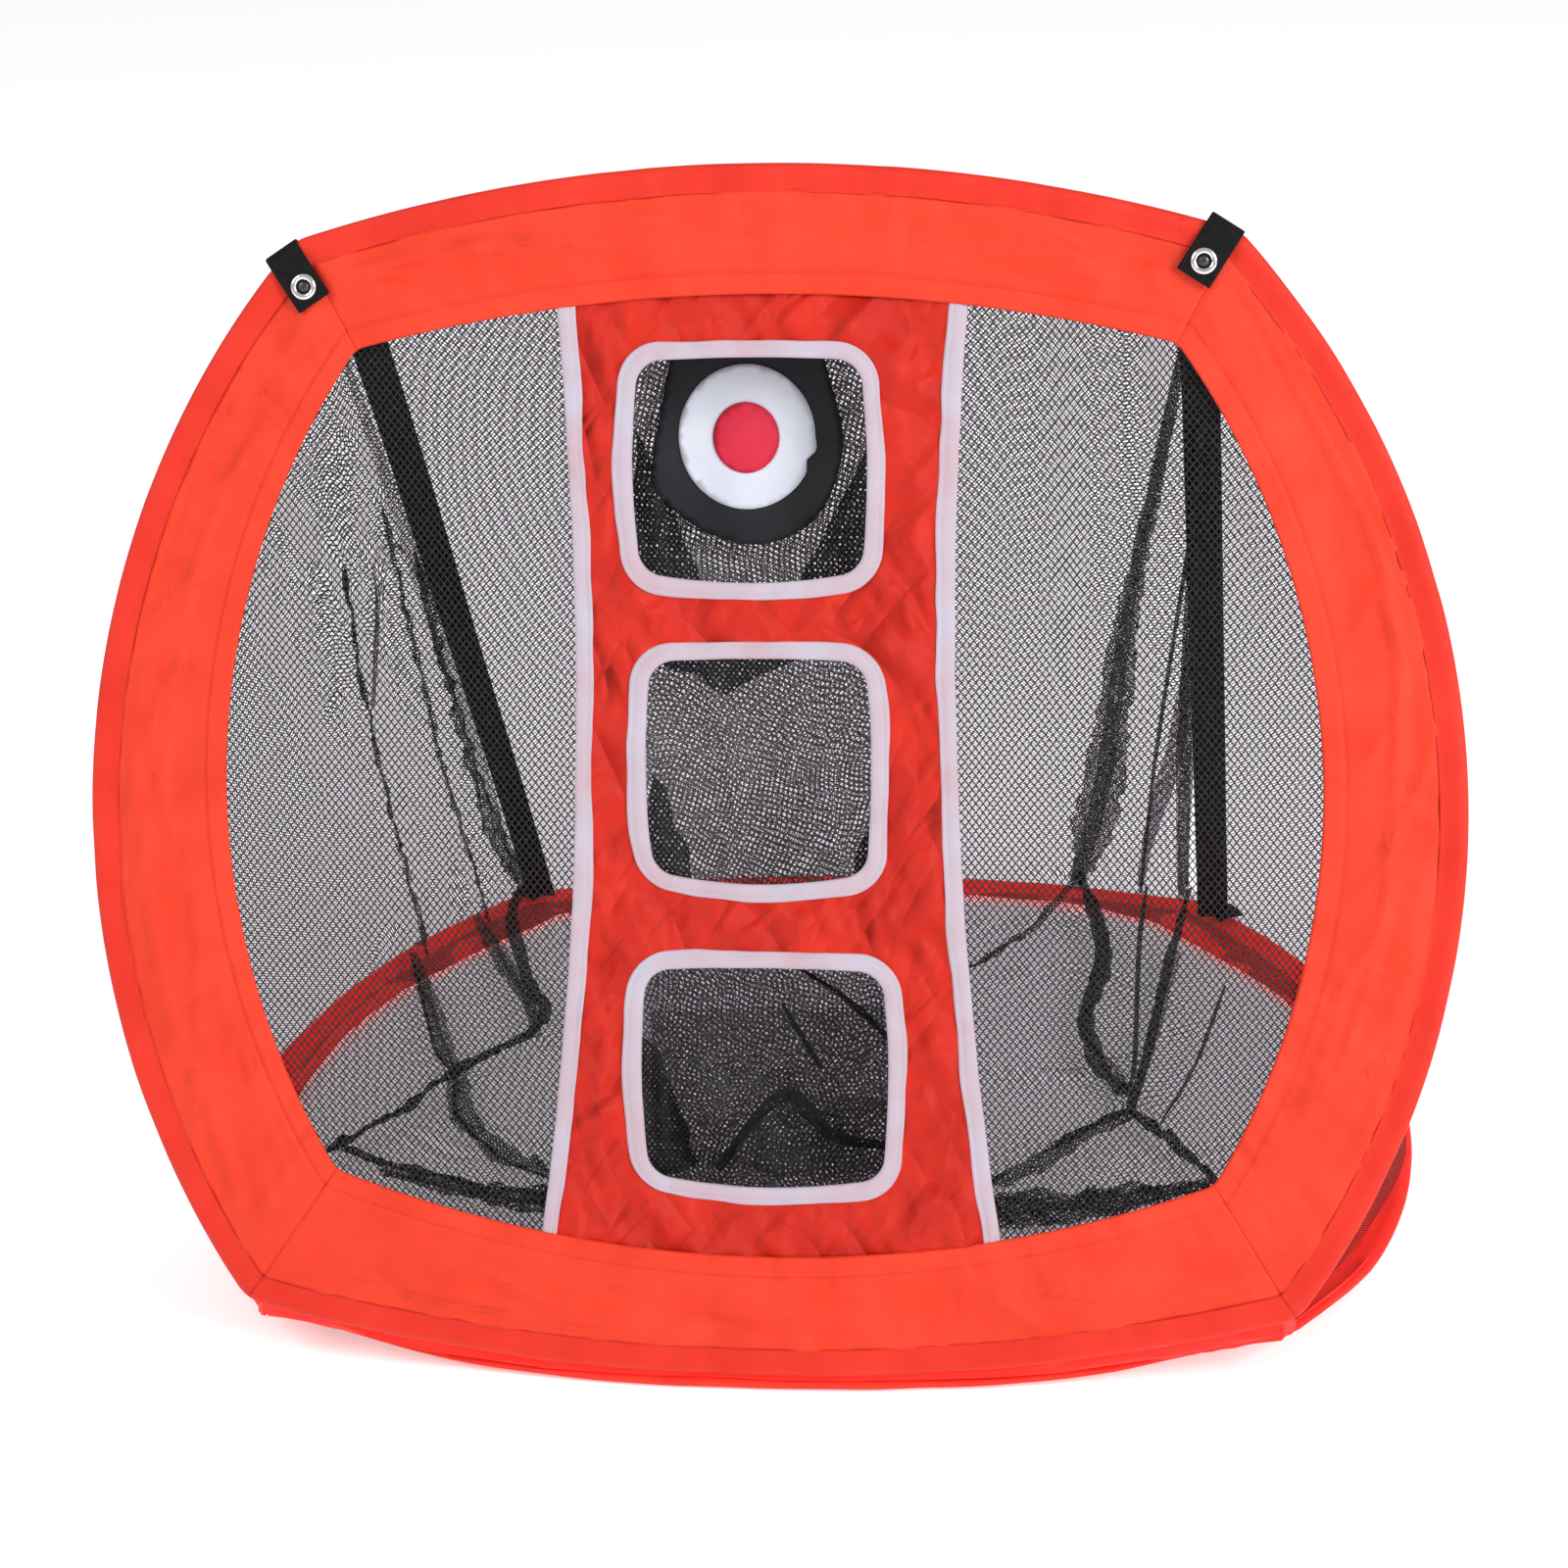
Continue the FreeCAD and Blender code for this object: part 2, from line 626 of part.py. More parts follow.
def main():
    sleeve_on_ground = FreeCAD.Placement(
        FreeCAD.Vector(0, BASE_Y, SLEEVE_THICKNESS / 2), FreeCAD.Rotation()
    )
    make_hoop("base", ["front", "right", "rear", "left"], sleeve_on_ground)
    make_hoop("front", ["bottom", "right", "top", "left"], PANEL_PLACEMENT)
    make_floor()
    make_border()
    make_strip()
    make_windows()
    make_pocket()
    make_target()
    make_tabs()
    make_straps()
    make_spanning_nets()
    os.makedirs("parts", exist_ok=True)
    hinge = PANEL_PLACEMENT.Base
    print("panel hinge", [round(c, 4) for c in hinge], "depth", DEPTH)
    for name, shape in PARTS.items():
        shape.exportStep("parts/" + name + ".step")
        bounds = shape.BoundBox
        size = (round(bounds.XLength, 1), round(bounds.YLength, 1), round(bounds.ZLength, 1))
        print(name, len(shape.Solids), shape.isValid(), round(shape.Volume), size)


main()
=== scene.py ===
import json
from math import atan2, cos, hypot, pi, radians, sin, sqrt

import bmesh
import bpy
import numpy as np
from mathutils import Matrix, Vector
from mathutils.geometry import delaunay_2d_cdt


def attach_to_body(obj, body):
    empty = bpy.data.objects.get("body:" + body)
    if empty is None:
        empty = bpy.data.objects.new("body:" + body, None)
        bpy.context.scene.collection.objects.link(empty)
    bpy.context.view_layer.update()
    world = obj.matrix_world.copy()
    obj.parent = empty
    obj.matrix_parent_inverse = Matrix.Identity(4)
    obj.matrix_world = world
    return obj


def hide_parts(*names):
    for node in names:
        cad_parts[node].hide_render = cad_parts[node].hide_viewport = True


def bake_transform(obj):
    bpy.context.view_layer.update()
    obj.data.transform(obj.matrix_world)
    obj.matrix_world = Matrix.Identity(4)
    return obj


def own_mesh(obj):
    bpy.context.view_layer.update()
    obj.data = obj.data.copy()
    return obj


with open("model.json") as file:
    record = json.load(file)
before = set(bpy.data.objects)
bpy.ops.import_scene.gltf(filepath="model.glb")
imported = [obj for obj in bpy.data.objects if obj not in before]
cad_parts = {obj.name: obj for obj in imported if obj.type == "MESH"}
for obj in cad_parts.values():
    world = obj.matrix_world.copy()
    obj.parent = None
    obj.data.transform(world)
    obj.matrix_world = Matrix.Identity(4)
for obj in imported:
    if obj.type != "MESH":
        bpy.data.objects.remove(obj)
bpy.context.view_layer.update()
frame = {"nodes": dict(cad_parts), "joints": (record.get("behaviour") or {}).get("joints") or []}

# Golf chipping net.  Lengths are metres.  The panel plane has its own coordinates:
# u to the right, v up the panel, n out of its front face.  The ground hoop uses u, w, z.

MM = 0.001
JOINTS = {j["name"]: j for j in frame["joints"]}
HINGE = Vector(JOINTS["panel_fold"]["pos_m"])
LEAN = radians(15.3)
FRONT_EDGE_Y = HINGE.y - 2.5 * MM
UP_PANEL = np.array([0.0, sin(LEAN), cos(LEAN)])
OUT_PANEL = np.array([0.0, -cos(LEAN), sin(LEAN)])
HALF_WEDGE = (pi / 2 - LEAN) / 2

# hoop outline, shared by the panel and the ground hoop
HOOP_CORNERS = [(-0.2710, 0.034), (0.264, 0.036), (0.229, 0.571), (-0.229, 0.571)]
HOOP_BULGES = [0.035, 0.095, 0.0345, 0.0915]
HOOP_ROUNDING = 0.022
SLEEVE_WIDTH = 0.014

# window opening inside the border
OPENING_CORNERS = [(-0.222, 0.104), (0.222, 0.104), (0.200, 0.518), (-0.200, 0.518)]
OPENING_BULGES = [0.0415, 0.061, 0.025, 0.061]
OPENING_ROUNDING = 0.012
HEM_WIDTH = 0.011

# centre strip: half width at the bottom, the waist and the top
STRIP_V = (0.050, 0.343, 0.553)
STRIP_HALF = (0.119, 0.0935, 0.1008)
TAPE_WIDTH = 0.009

# target holes: name, centre u, centre v, width, height
HOLES = [
    ("top", -0.0064, 0.458, 0.115, 0.110),
    ("middle", -0.0036, 0.3095, 0.112, 0.113),
    ("bottom", -0.0019, 0.1545, 0.124, 0.113),
]
HOLE_ROUNDING = 0.014
HOLE_BULGES = (0.006, 0.003, 0.002, 0.003)

STRIP_N = -0.0016               # middle of the strip's cloth, behind the border
WINDOW_N = -0.0034

TARGET_U = -0.0128
TARGET_V = 0.4728
TARGET_N = -0.049

SLEEVE_MIDDLE = 0.0025          # height of the ground hoop's middle plane
BASE_TAIL = 0.012               # how far the ground sleeve's flat band goes on inside the ring
CORNER_LIFT = 0.016             # the ground hoop's front corners stand off the floor
LIFT_CENTRE = (0.262, 0.035)
LIFT_REACH = 0.085
WIRE_INSET = 0.0032
WIRE_RADIUS = 0.0014
NET_INSET = 0.0142              # the net bag's seam, from the hoop's edge
WINDOW_SEAM = 0.006             # how far a window net goes under the cloth round it
STRAP_WIDTH = 0.0195
ANCHOR_WIDTH = 0.019
TAB_WIDTH = 0.0182
HANDS = ((-1, "left"), (1, "right"))


# ---------------------------------------------------------------- outlines

class Outline:
    """Four bulging arcs and four roundings; q runs 0 to 8, one unit for each arc."""

    def __init__(self, corners, bulges, rounding):
        self.corners = corners
        self.arcs = []
        circles = [bulging_circle(corners[i], corners[(i + 1) % 4], bulges[i]) for i in range(4)]
        middles = []
        for i in range(4):
            c1, r1 = circles[i]
            c2, r2 = circles[(i + 1) % 4]
            near = corners[(i + 1) % 4]
            middles.append(circles_meet(c1, r1 - rounding, c2, r2 - rounding, near))
        for i in range(4):
            centre, radius = circles[i]
            start = angle_to(centre, middles[i - 1])
            end = unwrap(angle_to(centre, middles[i]), start)
            self.arcs.append((centre, radius, start, end))
            after = circles[(i + 1) % 4][0]
            start = angle_to(centre, middles[i])
            end = unwrap(angle_to(after, middles[i]), start)
            self.arcs.append((middles[i], rounding, start, end))

    def at(self, q, inset=0.0):
        """Points (..., 2) at outline parameter q, moved inward by inset."""
        q, inset = np.broadcast_arrays(np.asarray(q, float) % 8, np.asarray(inset, float))
        index = np.minimum(q.astype(int), 7)
        part = q - index
        table = np.array([(c[0], c[1], r, a0, a1) for c, r, a0, a1 in self.arcs])[index]
        angle = table[..., 3] + part * (table[..., 4] - table[..., 3])
        radius = table[..., 2] - inset
        x = table[..., 0] + radius * np.cos(angle)
        y = table[..., 1] + radius * np.sin(angle)
        return pair(x, y)

    def side(self, i, steps, corner_steps=5):
        """Parameters along side i, from the mitre at its start to the one at its end."""
        before = np.linspace(2 * i - 0.5, 2 * i, corner_steps)[:-1]
        along = np.linspace(2 * i, 2 * i + 1, steps)
        after = np.linspace(2 * i + 1, 2 * i + 1.5, corner_steps)[1:]
        return np.concatenate([before, along, after])


def bulging_circle(p, q, bulge):
    chord = hypot(q[0] - p[0], q[1] - p[1])
    radius = (chord * chord / 4 + bulge * bulge) / (2 * bulge)
    left = (-(q[1] - p[1]) / chord, (q[0] - p[0]) / chord)
    step = radius - bulge
    return ((p[0] + q[0]) / 2 + left[0] * step, (p[1] + q[1]) / 2 + left[1] * step), radius


def circles_meet(c1, r1, c2, r2, near):
    gap = hypot(c2[0] - c1[0], c2[1] - c1[1])
    along = (gap * gap + r1 * r1 - r2 * r2) / (2 * gap)
    across = sqrt(r1 * r1 - along * along)
    ux, uy = (c2[0] - c1[0]) / gap, (c2[1] - c1[1]) / gap
    options = []
    for side in (-1, 1):
        x = c1[0] + ux * along - uy * across * side
        y = c1[1] + uy * along + ux * across * side
        options.append((hypot(x - near[0], y - near[1]), (x, y)))
    return min(options)[1]


def angle_to(centre, point):
    return atan2(point[1] - centre[1], point[0] - centre[0])


def unwrap(angle, start):
    while angle < start:
        angle += 2 * pi
    return angle


def hole_outline(u, v, width, height):
    """The corners are drawn in by the bulges, so that width and height are the hole's own."""
    bottom, side, top, _ = HOLE_BULGES
    left, right = u - width / 2 + side, u + width / 2 - side
    low, high = v - height / 2 + bottom, v + height / 2 - top
    corners = [(left, low), (right, low), (right, high), (left, high)]
    return Outline(corners, HOLE_BULGES, HOLE_ROUNDING)


HOOP = Outline(HOOP_CORNERS, HOOP_BULGES, HOOP_ROUNDING)
OPENING = Outline(OPENING_CORNERS, OPENING_BULGES, OPENING_ROUNDING)
HOLE_OUTLINES = {name: hole_outline(u, v, w, h) for name, u, v, w, h in HOLES}
SIDES = {"bottom": 0, "right": 1, "top": 2, "left": 3}


def strip_half(v):
    """Half width of the centre strip at height v: the arc through its three widths."""
    (v0, v1, v2), (h0, h1, h2) = STRIP_V, STRIP_HALF
    v = np.asarray(v, float)
    return (
        h0 * (v - v1) * (v - v2) / ((v0 - v1) * (v0 - v2))
        + h1 * (v - v0) * (v - v2) / ((v1 - v0) * (v1 - v2))
        + h2 * (v - v0) * (v - v1) / ((v2 - v0) * (v2 - v1))
    )


# ---------------------------------------------------------------- places

def spread(*values):
    return np.broadcast_arrays(*[np.asarray(a, float) for a in values])


def pair(a, b):
    return np.stack(np.broadcast_arrays(a, b), -1)


def on_panel(flat, n):
    """Row-frame points for (u, v) pairs that stand n out of the panel."""
    u, v, n = spread(flat[..., 0], flat[..., 1], n)
    across = np.stack([u, 0 * u, 0 * u], -1)
    return np.array(HINGE) + across + v[..., None] * UP_PANEL + n[..., None] * OUT_PANEL


def on_ground(flat, z):
    """Row-frame points for (u, w) pairs at height z. The front corners are lifted."""
    u, w, z = spread(flat[..., 0], flat[..., 1], z)
    reach = np.hypot(np.abs(u) - LIFT_CENTRE[0], w - LIFT_CENTRE[1]) / LIFT_REACH
    return np.stack([u, w + FRONT_EDGE_Y, z + CORNER_LIFT * np.exp(-reach ** 2)], -1)


def on_base_sleeve(flat, z):
    return on_ground(flat, z + SLEEVE_MIDDLE)


# ---------------------------------------------------------------- noise

def lattice(i, j, seed):
    """A fixed pseudo-random value between -1 and 1 for each whole grid point."""
    h = (i * 374761393 + j * 668265263 + seed * 2246822519) & 0xFFFFFFFF
    h = ((h ^ (h >> 13)) * 1274126177) & 0xFFFFFFFF
    return ((h ^ (h >> 16)) & 0xFFFF) / 32767.5 - 1.0


def noise(x, y, seed=0):
    x, y = spread(x, y)
    i, j = np.floor(x).astype(np.int64), np.floor(y).astype(np.int64)
    fx, fy = x - i, y - j
    sx, sy = fx * fx * (3 - 2 * fx), fy * fy * (3 - 2 * fy)
    low = lattice(i, j, seed) * (1 - sx) + lattice(i + 1, j, seed) * sx
    high = lattice(i, j + 1, seed) * (1 - sx) + lattice(i + 1, j + 1, seed) * sx
    return low * (1 - sy) + high * sy


def fbm(x, y, seed=0, octaves=3):
    total, gain = 0.0, 1.0
    for k in range(octaves):
        total = total + gain * noise(x * 2 ** k, y * 2 ** k, seed + 17 * k)
        gain *= 0.5
    return total


def creases(x, y, seed=0):
    """Sharp-topped folds, 0 on the flat and 1 along a crease."""
    return np.clip(1 - 3.2 * np.abs(fbm(x, y, seed, 2)), 0, 1) ** 2


def ease(x, low, high):
    t = np.clip((np.asarray(x, float) - low) / (high - low), 0, 1)
    return t * t * (3 - 2 * t)


# ---------------------------------------------------------------- mesh building

def unit(vectors):
    return vectors / np.linalg.norm(vectors, axis=-1, keepdims=True)


def run_along(points, axis=0):
    """Distance gone at each point of a line, or along one axis of a grid."""
    steps = np.diff(points, axis=axis, prepend=np.take(points, [0], axis))
    return np.linalg.norm(steps, axis=-1).cumsum(axis)


def make_object(name, points, faces, uvs, material):
    """A smooth mesh object from points, faces and one UV pair per point, in metres."""
    mesh = bpy.data.meshes.new(name)
    mesh.from_pydata([tuple(p) for p in points.reshape(-1, 3)], [], faces)
    layer = mesh.uv_layers.new(name="cloth")
    corner = np.zeros(len(mesh.loops), np.int32)
    mesh.loops.foreach_get("vertex_index", corner)
    uvs = np.asarray(uvs, np.float32).reshape(-1, 2)
    layer.data.foreach_set("uv", uvs[corner].ravel())
    mesh.polygons.foreach_set("use_smooth", [True] * len(mesh.polygons))
    mesh.update()
    mesh.materials.append(material)
    piece = bpy.data.objects.new(name, mesh)
    bpy.context.scene.collection.objects.link(piece)
    return piece


def grid_faces(rows, cols, wrap=False):
    last = cols if wrap else cols - 1
    i, j = np.meshgrid(np.arange(rows - 1), np.arange(last), indexing="ij")
    k = (j + 1) % cols
    quads = np.stack([i * cols + j, i * cols + k, (i + 1) * cols + k, (i + 1) * cols + j], -1)
    return quads.reshape(-1, 4).tolist()


def skin(name, rings, uv, material, looped=False):
    """A closed skin through rings of points. Its ends are filled, or meet if it is looped."""
    rows, cols = rings.shape[:2]
    faces, last = grid_faces(rows, cols, wrap=True), (rows - 1) * cols
    if looped:
        faces += [[last + j, last + (j + 1) % cols, (j + 1) % cols, j] for j in range(cols)]
    else:
        faces += [list(range(cols))[::-1], [last + j for j in range(cols)]]
    return make_object(name, rings, faces, uv, material)


def thick_cloth(name, faces, front, back, uv, material):
    """A front and a back layer of cloth, with a rim along every free edge."""
    front, back, uv = front.reshape(-1, 3), back.reshape(-1, 3), uv.reshape(-1, 2)
    count = len(front)
    edges = {(a, b) for f in faces for a, b in zip(f, f[1:] + f[:1])}
    rim = [[b, a, count + a, count + b] for a, b in sorted(edges) if (b, a) not in edges]
    under = [[count + a for a in reversed(f)] for f in faces]
    points, uv = np.concatenate([front, back]), np.concatenate([uv, uv])
    return make_object(name, points, faces + under + rim, uv, material)


def attach(piece, body, node_name, slot_name, press=None, **cut):
    """Puts a piece on its body in place of a CAD node. Press, when given, only gives the piece its
    own copy of its mesh. Cut is not used."""
    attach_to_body(piece, body)
    if press:
        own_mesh(piece)
    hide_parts(node_name)
    return piece


# axis, anchor and keep for pressing soft pieces flat as the panel folds: onto the floor, or
# against the strip. Attach reads only whether one is given.
SLEEVE_PRESS = ((0, 0, 1), (0, 0, 0), 0.4)
FLOOR_PRESS = ((0, 0, 1), (0, 0, 0), 0.3)
POCKET_PRESS = (tuple(OUT_PANEL), tuple(HINGE + Vector(OUT_PANEL) * STRIP_N), 0.1)


def inside(points, loop):
    """Which of the points lie inside a closed loop."""
    x, y = points[:, 0], points[:, 1]
    hit = np.zeros(len(points), bool)
    for (x0, y0), (x1, y1) in zip(loop, np.roll(loop, -1, axis=0)):
        crosses = (y0 > y) != (y1 > y)
        with np.errstate(divide="ignore", invalid="ignore"):
            at = x0 + (y - y0) * (x1 - x0) / (y1 - y0)
        hit ^= crosses & (x < at)
    return hit


def distance_to_loop(points, loop):
    best = np.full(len(points), 1e9)
    for p, q in zip(loop, np.roll(loop, -1, axis=0)):
        d = q - p
        t = np.clip(((points - p) @ d) / max(d @ d, 1e-18), 0, 1)
        best = np.minimum(best, np.linalg.norm(points - p - t[:, None] * d, axis=1))
    return best


def flat_cloth(outer, holes, spacing):
    """Triangles that fill a flat outline with holes: (points, triangles)."""
    loops = [np.asarray(outer)] + [np.asarray(h) for h in holes]
    low, high = loops[0].min(0), loops[0].max(0)
    rows = np.arange(low[1], high[1], spacing * 0.866)
    inner = []
    for k, y in enumerate(rows):
        xs = np.arange(low[0] + (k % 2) * spacing / 2, high[0], spacing)
        inner.append(pair(xs, np.full_like(xs, y)))
    inner = np.concatenate(inner)
    keep = inside(inner, loops[0])
    for loop in loops:
        keep &= distance_to_loop(inner, loop) > spacing * 0.45
    for loop in loops[1:]:
        keep &= ~inside(inner, loop)
    inner = inner[keep]
    points, edges = [], []
    for loop in loops:
        first = len(points)
        points += [tuple(p) for p in loop]
        edges += [(first + i, first + (i + 1) % len(loop)) for i in range(len(loop))]
    points += [tuple(p) for p in inner]
    found = delaunay_2d_cdt([Vector(p) for p in points], edges, [], 0, 1e-7)
    flat = np.array([tuple(p) for p in found[0]])
    tris = np.array([f for f in found[2] if len(f) == 3])
    middle = flat[tris].mean(1)
    keep = inside(middle, loops[0])
    for loop in loops[1:]:
        keep &= ~inside(middle, loop)
    tris = tris[keep]
    a, b, c = flat[tris[:, 0]], flat[tris[:, 1]], flat[tris[:, 2]]
    turn = (b[:, 0] - a[:, 0]) * (c[:, 1] - a[:, 1]) - (b[:, 1] - a[:, 1]) * (c[:, 0] - a[:, 0])
    tris[turn < 0] = tris[turn < 0][:, ::-1]
    return flat, tris


def pattern_area(flat, tris):
    """Area of a flat pattern before it is bent or wrinkled."""
    a, b = flat[tris[:, 1]] - flat[tris[:, 0]], flat[tris[:, 2]] - flat[tris[:, 0]]
    return float(np.abs(a[:, 0] * b[:, 1] - a[:, 1] * b[:, 0]).sum()) / 2


def smooth_route(points, steps):
    """A smooth curve through given points, sampled evenly (Catmull-Rom)."""
    p = np.asarray(points, float)
    p = np.concatenate([[2 * p[0] - p[1]], p, [2 * p[-1] - p[-2]]])
    t = np.linspace(0, len(points) - 1, steps)
    i = np.minimum(t.astype(int), len(points) - 2)
    f = (t - i)[:, None]
    a, b, c, d = p[i], p[i + 1], p[i + 2], p[i + 3]
    return 0.5 * (
        2 * b + (c - a) * f + (2 * a - 5 * b + 4 * c - d) * f ** 2
        + (3 * b - a - 3 * c + d) * f ** 3
    )


# ---------------------------------------------------------------- materials

def fill(tree, made, inputs):
    """Sets each input of a node to a value, or links it to the socket that feeds it."""
    for key, value in inputs.items():
        if isinstance(value, bpy.types.NodeSocket):
            tree.links.new(value, made.inputs[key])
        elif value is not None:
            made.inputs[key].default_value = value


def node(tree, kind, inputs, **settings):
    made = tree.nodes.new("ShaderNode" + kind)
    for key, value in settings.items():
        setattr(made, key, value)
    fill(tree, made, inputs)
    return made


def new_material(name, roughness, **inputs):
    material = bpy.data.materials.new(name)
    material.use_nodes = True
    tree = material.node_tree
    shader = tree.nodes["Principled BSDF"]
    shader.inputs["Roughness"].default_value = roughness
    fill(tree, shader, {key.replace("_", " "): value for key, value in inputs.items()})
    return material, tree, shader


def math(tree, operation, a, b=None):
    return node(tree, "Math", {0: a, 1: b}, operation=operation).outputs[0]


def sine(tree, value, pitch):
    return math(tree, "SINE", math(tree, "MULTIPLY", value, 2 * pi / pitch))


def noise_texture(tree, vector, **inputs):
    return node(tree, "TexNoise", {"Vector": vector, **inputs}).outputs[0]


def uv_axes(tree):
    vector = node(tree, "UVMap", {}, uv_map="cloth").outputs[0]
    split = node(tree, "SeparateXYZ", {0: vector})
    return vector, split.outputs[0], split.outputs[1]


def paint(tree, shader, vector, scale, dark, light):
    """A noise-driven mix of two colours."""
    factor = noise_texture(tree, vector, Scale=scale, Detail=3.0)
    ramp = node(tree, "ValToRGB", {0: factor})
    for stop, place, colour in zip(ramp.color_ramp.elements, (0.3, 0.7), (dark, light)):
        stop.position = place
        stop.color = (*colour, 1)
    fill(tree, shader, {"Base Color": ramp.outputs[0]})


def bumped(tree, shader, height, distance, strength=1.0, under=None):
    """Relief on a shader, laid over the relief from an earlier call."""
    inputs = {"Distance": distance, "Strength": strength, "Height": height, "Normal": under}
    relief = node(tree, "Bump", inputs).outputs[0]
    fill(tree, shader, {"Normal": relief})
    return relief


def slack(tree, vector, size, turn):
    """Soft drawn folds: noise stretched along one direction and bent a little."""
    inputs = {"Vector": vector, "Rotation": (0, 0, turn), "Scale": (size, size / 0.28, 1)}
    place = node(tree, "Mapping", inputs, vector_type="TEXTURE").outputs[0]
    return noise_texture(tree, place, Scale=1.0, Detail=1.6, Distortion=0.35)


def cloth_material(
    name, dark, light, roughness, sheen, pitch=0.0011, folds=0.0, painted_glow=0.0, crisp=0.0
):
    """Plain weave between two shades, with soft folds and crisp creases.

    A glow is painted light: emission in the light colour that brightens cloth lying in shade.
    """
    # painted light: a glow makes the cloth shine as if more light fell on it
    material, tree, shader = new_material(
        name, roughness, Sheen_Weight=sheen, Sheen_Roughness=0.4, Specular_IOR_Level=0.20,
        Emission_Color=(*light, 1.0), Emission_Strength=painted_glow,
    )
    vector, u, v = uv_axes(tree)
    paint(tree, shader, vector, 26.0, dark, light)
    under = None
    for size in (0.042, 0.024) if folds else ():
        soft = slack(tree, vector, size, 0.0)
        under = bumped(tree, shader, soft, folds * size, 1.0, under)
    for size, turn in ((0.038, 0.45), (0.025, -0.70)) if crisp else ():
        middle = math(tree, "SUBTRACT", slack(tree, vector, size, turn), 0.5)
        crease = math(tree, "ABSOLUTE", middle)
        under = bumped(tree, shader, crease, crisp * size, 1.0, under)
    threads = math(tree, "MULTIPLY", sine(tree, u, pitch), sine(tree, v, pitch))
    bumped(tree, shader, threads, 0.00010, 0.7, under)
    return material


def webbing_material(name, dark, light):
    """Ribs along the band, under a chevron."""
    material, tree, shader = new_material(name, 0.7, Specular_IOR_Level=0.12)
    vector, u, v = uv_axes(tree)
    slant = math(tree, "MULTIPLY", math(tree, "PINGPONG", v, 0.0022), 2 * pi / 0.0017)
    rows = math(tree, "ADD", math(tree, "MULTIPLY", u, 2 * pi / 0.0024), slant)
    height = math(tree, "ADD", sine(tree, u, 0.0017), math(tree, "SINE", rows))
    paint(tree, shader, vector, 180.0, dark, light)
    bumped(tree, shader, height, 0.00016, 0.8)
    return material


THREAD_BLEND = 0.25


def thread_edge(coverage, soft):
    """The level of the mesh pattern below which thread lies, for a wanted share of cover."""
    wave = np.abs(np.sin(pi * np.linspace(0, 1, 200)))
    x, y = np.meshgrid(wave, wave)
    blend = np.maximum(1 - np.abs(x - y) / THREAD_BLEND, 0) ** 3 * THREAD_BLEND / 6
    near = np.minimum(x, y) - blend
    low, high = -0.5, 1.5
    for _ in range(24):
        level = (low + high) / 2
        if (1 - ease(near, level - soft, level + soft)).mean() < coverage:
            low = level
        else:
            high = level
    return level


def net_material(name, coverage, pitch=(0.0036, 0.0046), tone=0.020, soft=0.20):
    """Knitted diamond mesh: dark fuzzy threads along both diagonals, clear between them."""
    material, tree, shader = new_material(name, 0.7, Specular_IOR_Level=0.1)
    vector, u, v = uv_axes(tree)
    drift = math(tree, "SUBTRACT", noise_texture(tree, vector, Scale=14.0), 0.5)
    wander = math(tree, "MULTIPLY", drift, 0.3)
    across = math(tree, "ADD", math(tree, "DIVIDE", u, pitch[0]), wander)
    along = math(tree, "DIVIDE", v, pitch[1])
    rise, fall = [
        math(tree, "ABSOLUTE", sine(tree, math(tree, operation, across, along), 2.0))
        for operation in ("ADD", "SUBTRACT")
    ]
    inputs = {0: rise, 1: fall, 2: THREAD_BLEND}
    near = node(tree, "Math", inputs, operation="SMOOTH_MIN").outputs[0]
    edge = thread_edge(coverage, soft)
    span = node(tree, "MapRange", {
        "Value": near, "From Min": edge - soft, "From Max": edge + soft,
        "To Min": 1.0, "To Max": 0.0,
    }, interpolation_type="SMOOTHSTEP")
    paint(tree, shader, vector, 300.0, (tone * 0.7,) * 3, (tone * 1.5,) * 3)
    bumped(tree, shader, math(tree, "SUBTRACT", 1.0, near), 0.0003, 0.6)
    clear = node(tree, "BsdfTransparent", {0: (0.995, 0.970, 1.0, 1.0)})
    mix = node(tree, "MixShader", {0: span.outputs[0], 1: clear.outputs[0], 2: shader.outputs[0]})
    fill(tree, tree.nodes["Material Output"], {"Surface": mix.outputs[0]})
    return material


def metal_material(name, dark, light, roughness):
    """Bright metal with fine scratches."""
    material, tree, shader = new_material(name, roughness, Metallic=1.0)
    place = node(tree, "TexCoord", {}).outputs["Object"]
    paint(tree, shader, place, 900.0, dark, light)
    bumped(tree, shader, noise_texture(tree, place, Scale=1800.0), 0.00002, 0.4)
    return material


BORDER_RED = cloth_material(
    "border_red", (0.64, 0.032, 0.010), (0.72, 0.045, 0.018),
    0.42, 0.03, 0.0011, 0.17,
)
SLEEVE_RED = cloth_material(
    "sleeve_red", (0.58, 0.020, 0.009), (0.66, 0.030, 0.015),
    0.45, 0.03, 0.0011, 0.09,
)
STRIP_RED = cloth_material(
    "strip_red", (0.44, 0.009, 0.002), (0.58, 0.018, 0.006),
    0.30, 0.05, 0.0009, 0.20, crisp=0.72,
)
GROUND_RED = cloth_material(
    "ground_red", (0.64, 0.026, 0.014), (0.74, 0.036, 0.020),
    0.5, 0.03, 0.0011, 0.08,
)
# painted light: brighter than the ground red and glowing, for the ring's sides and rear and the
# gusset, which lie in shade
RING_RED_LIT = cloth_material(
    "ring_red_lit", (0.94, 0.014, 0.008), (1.00, 0.022, 0.012),
    0.5, 0.02, 0.0011, 0.08, painted_glow=0.16,
)
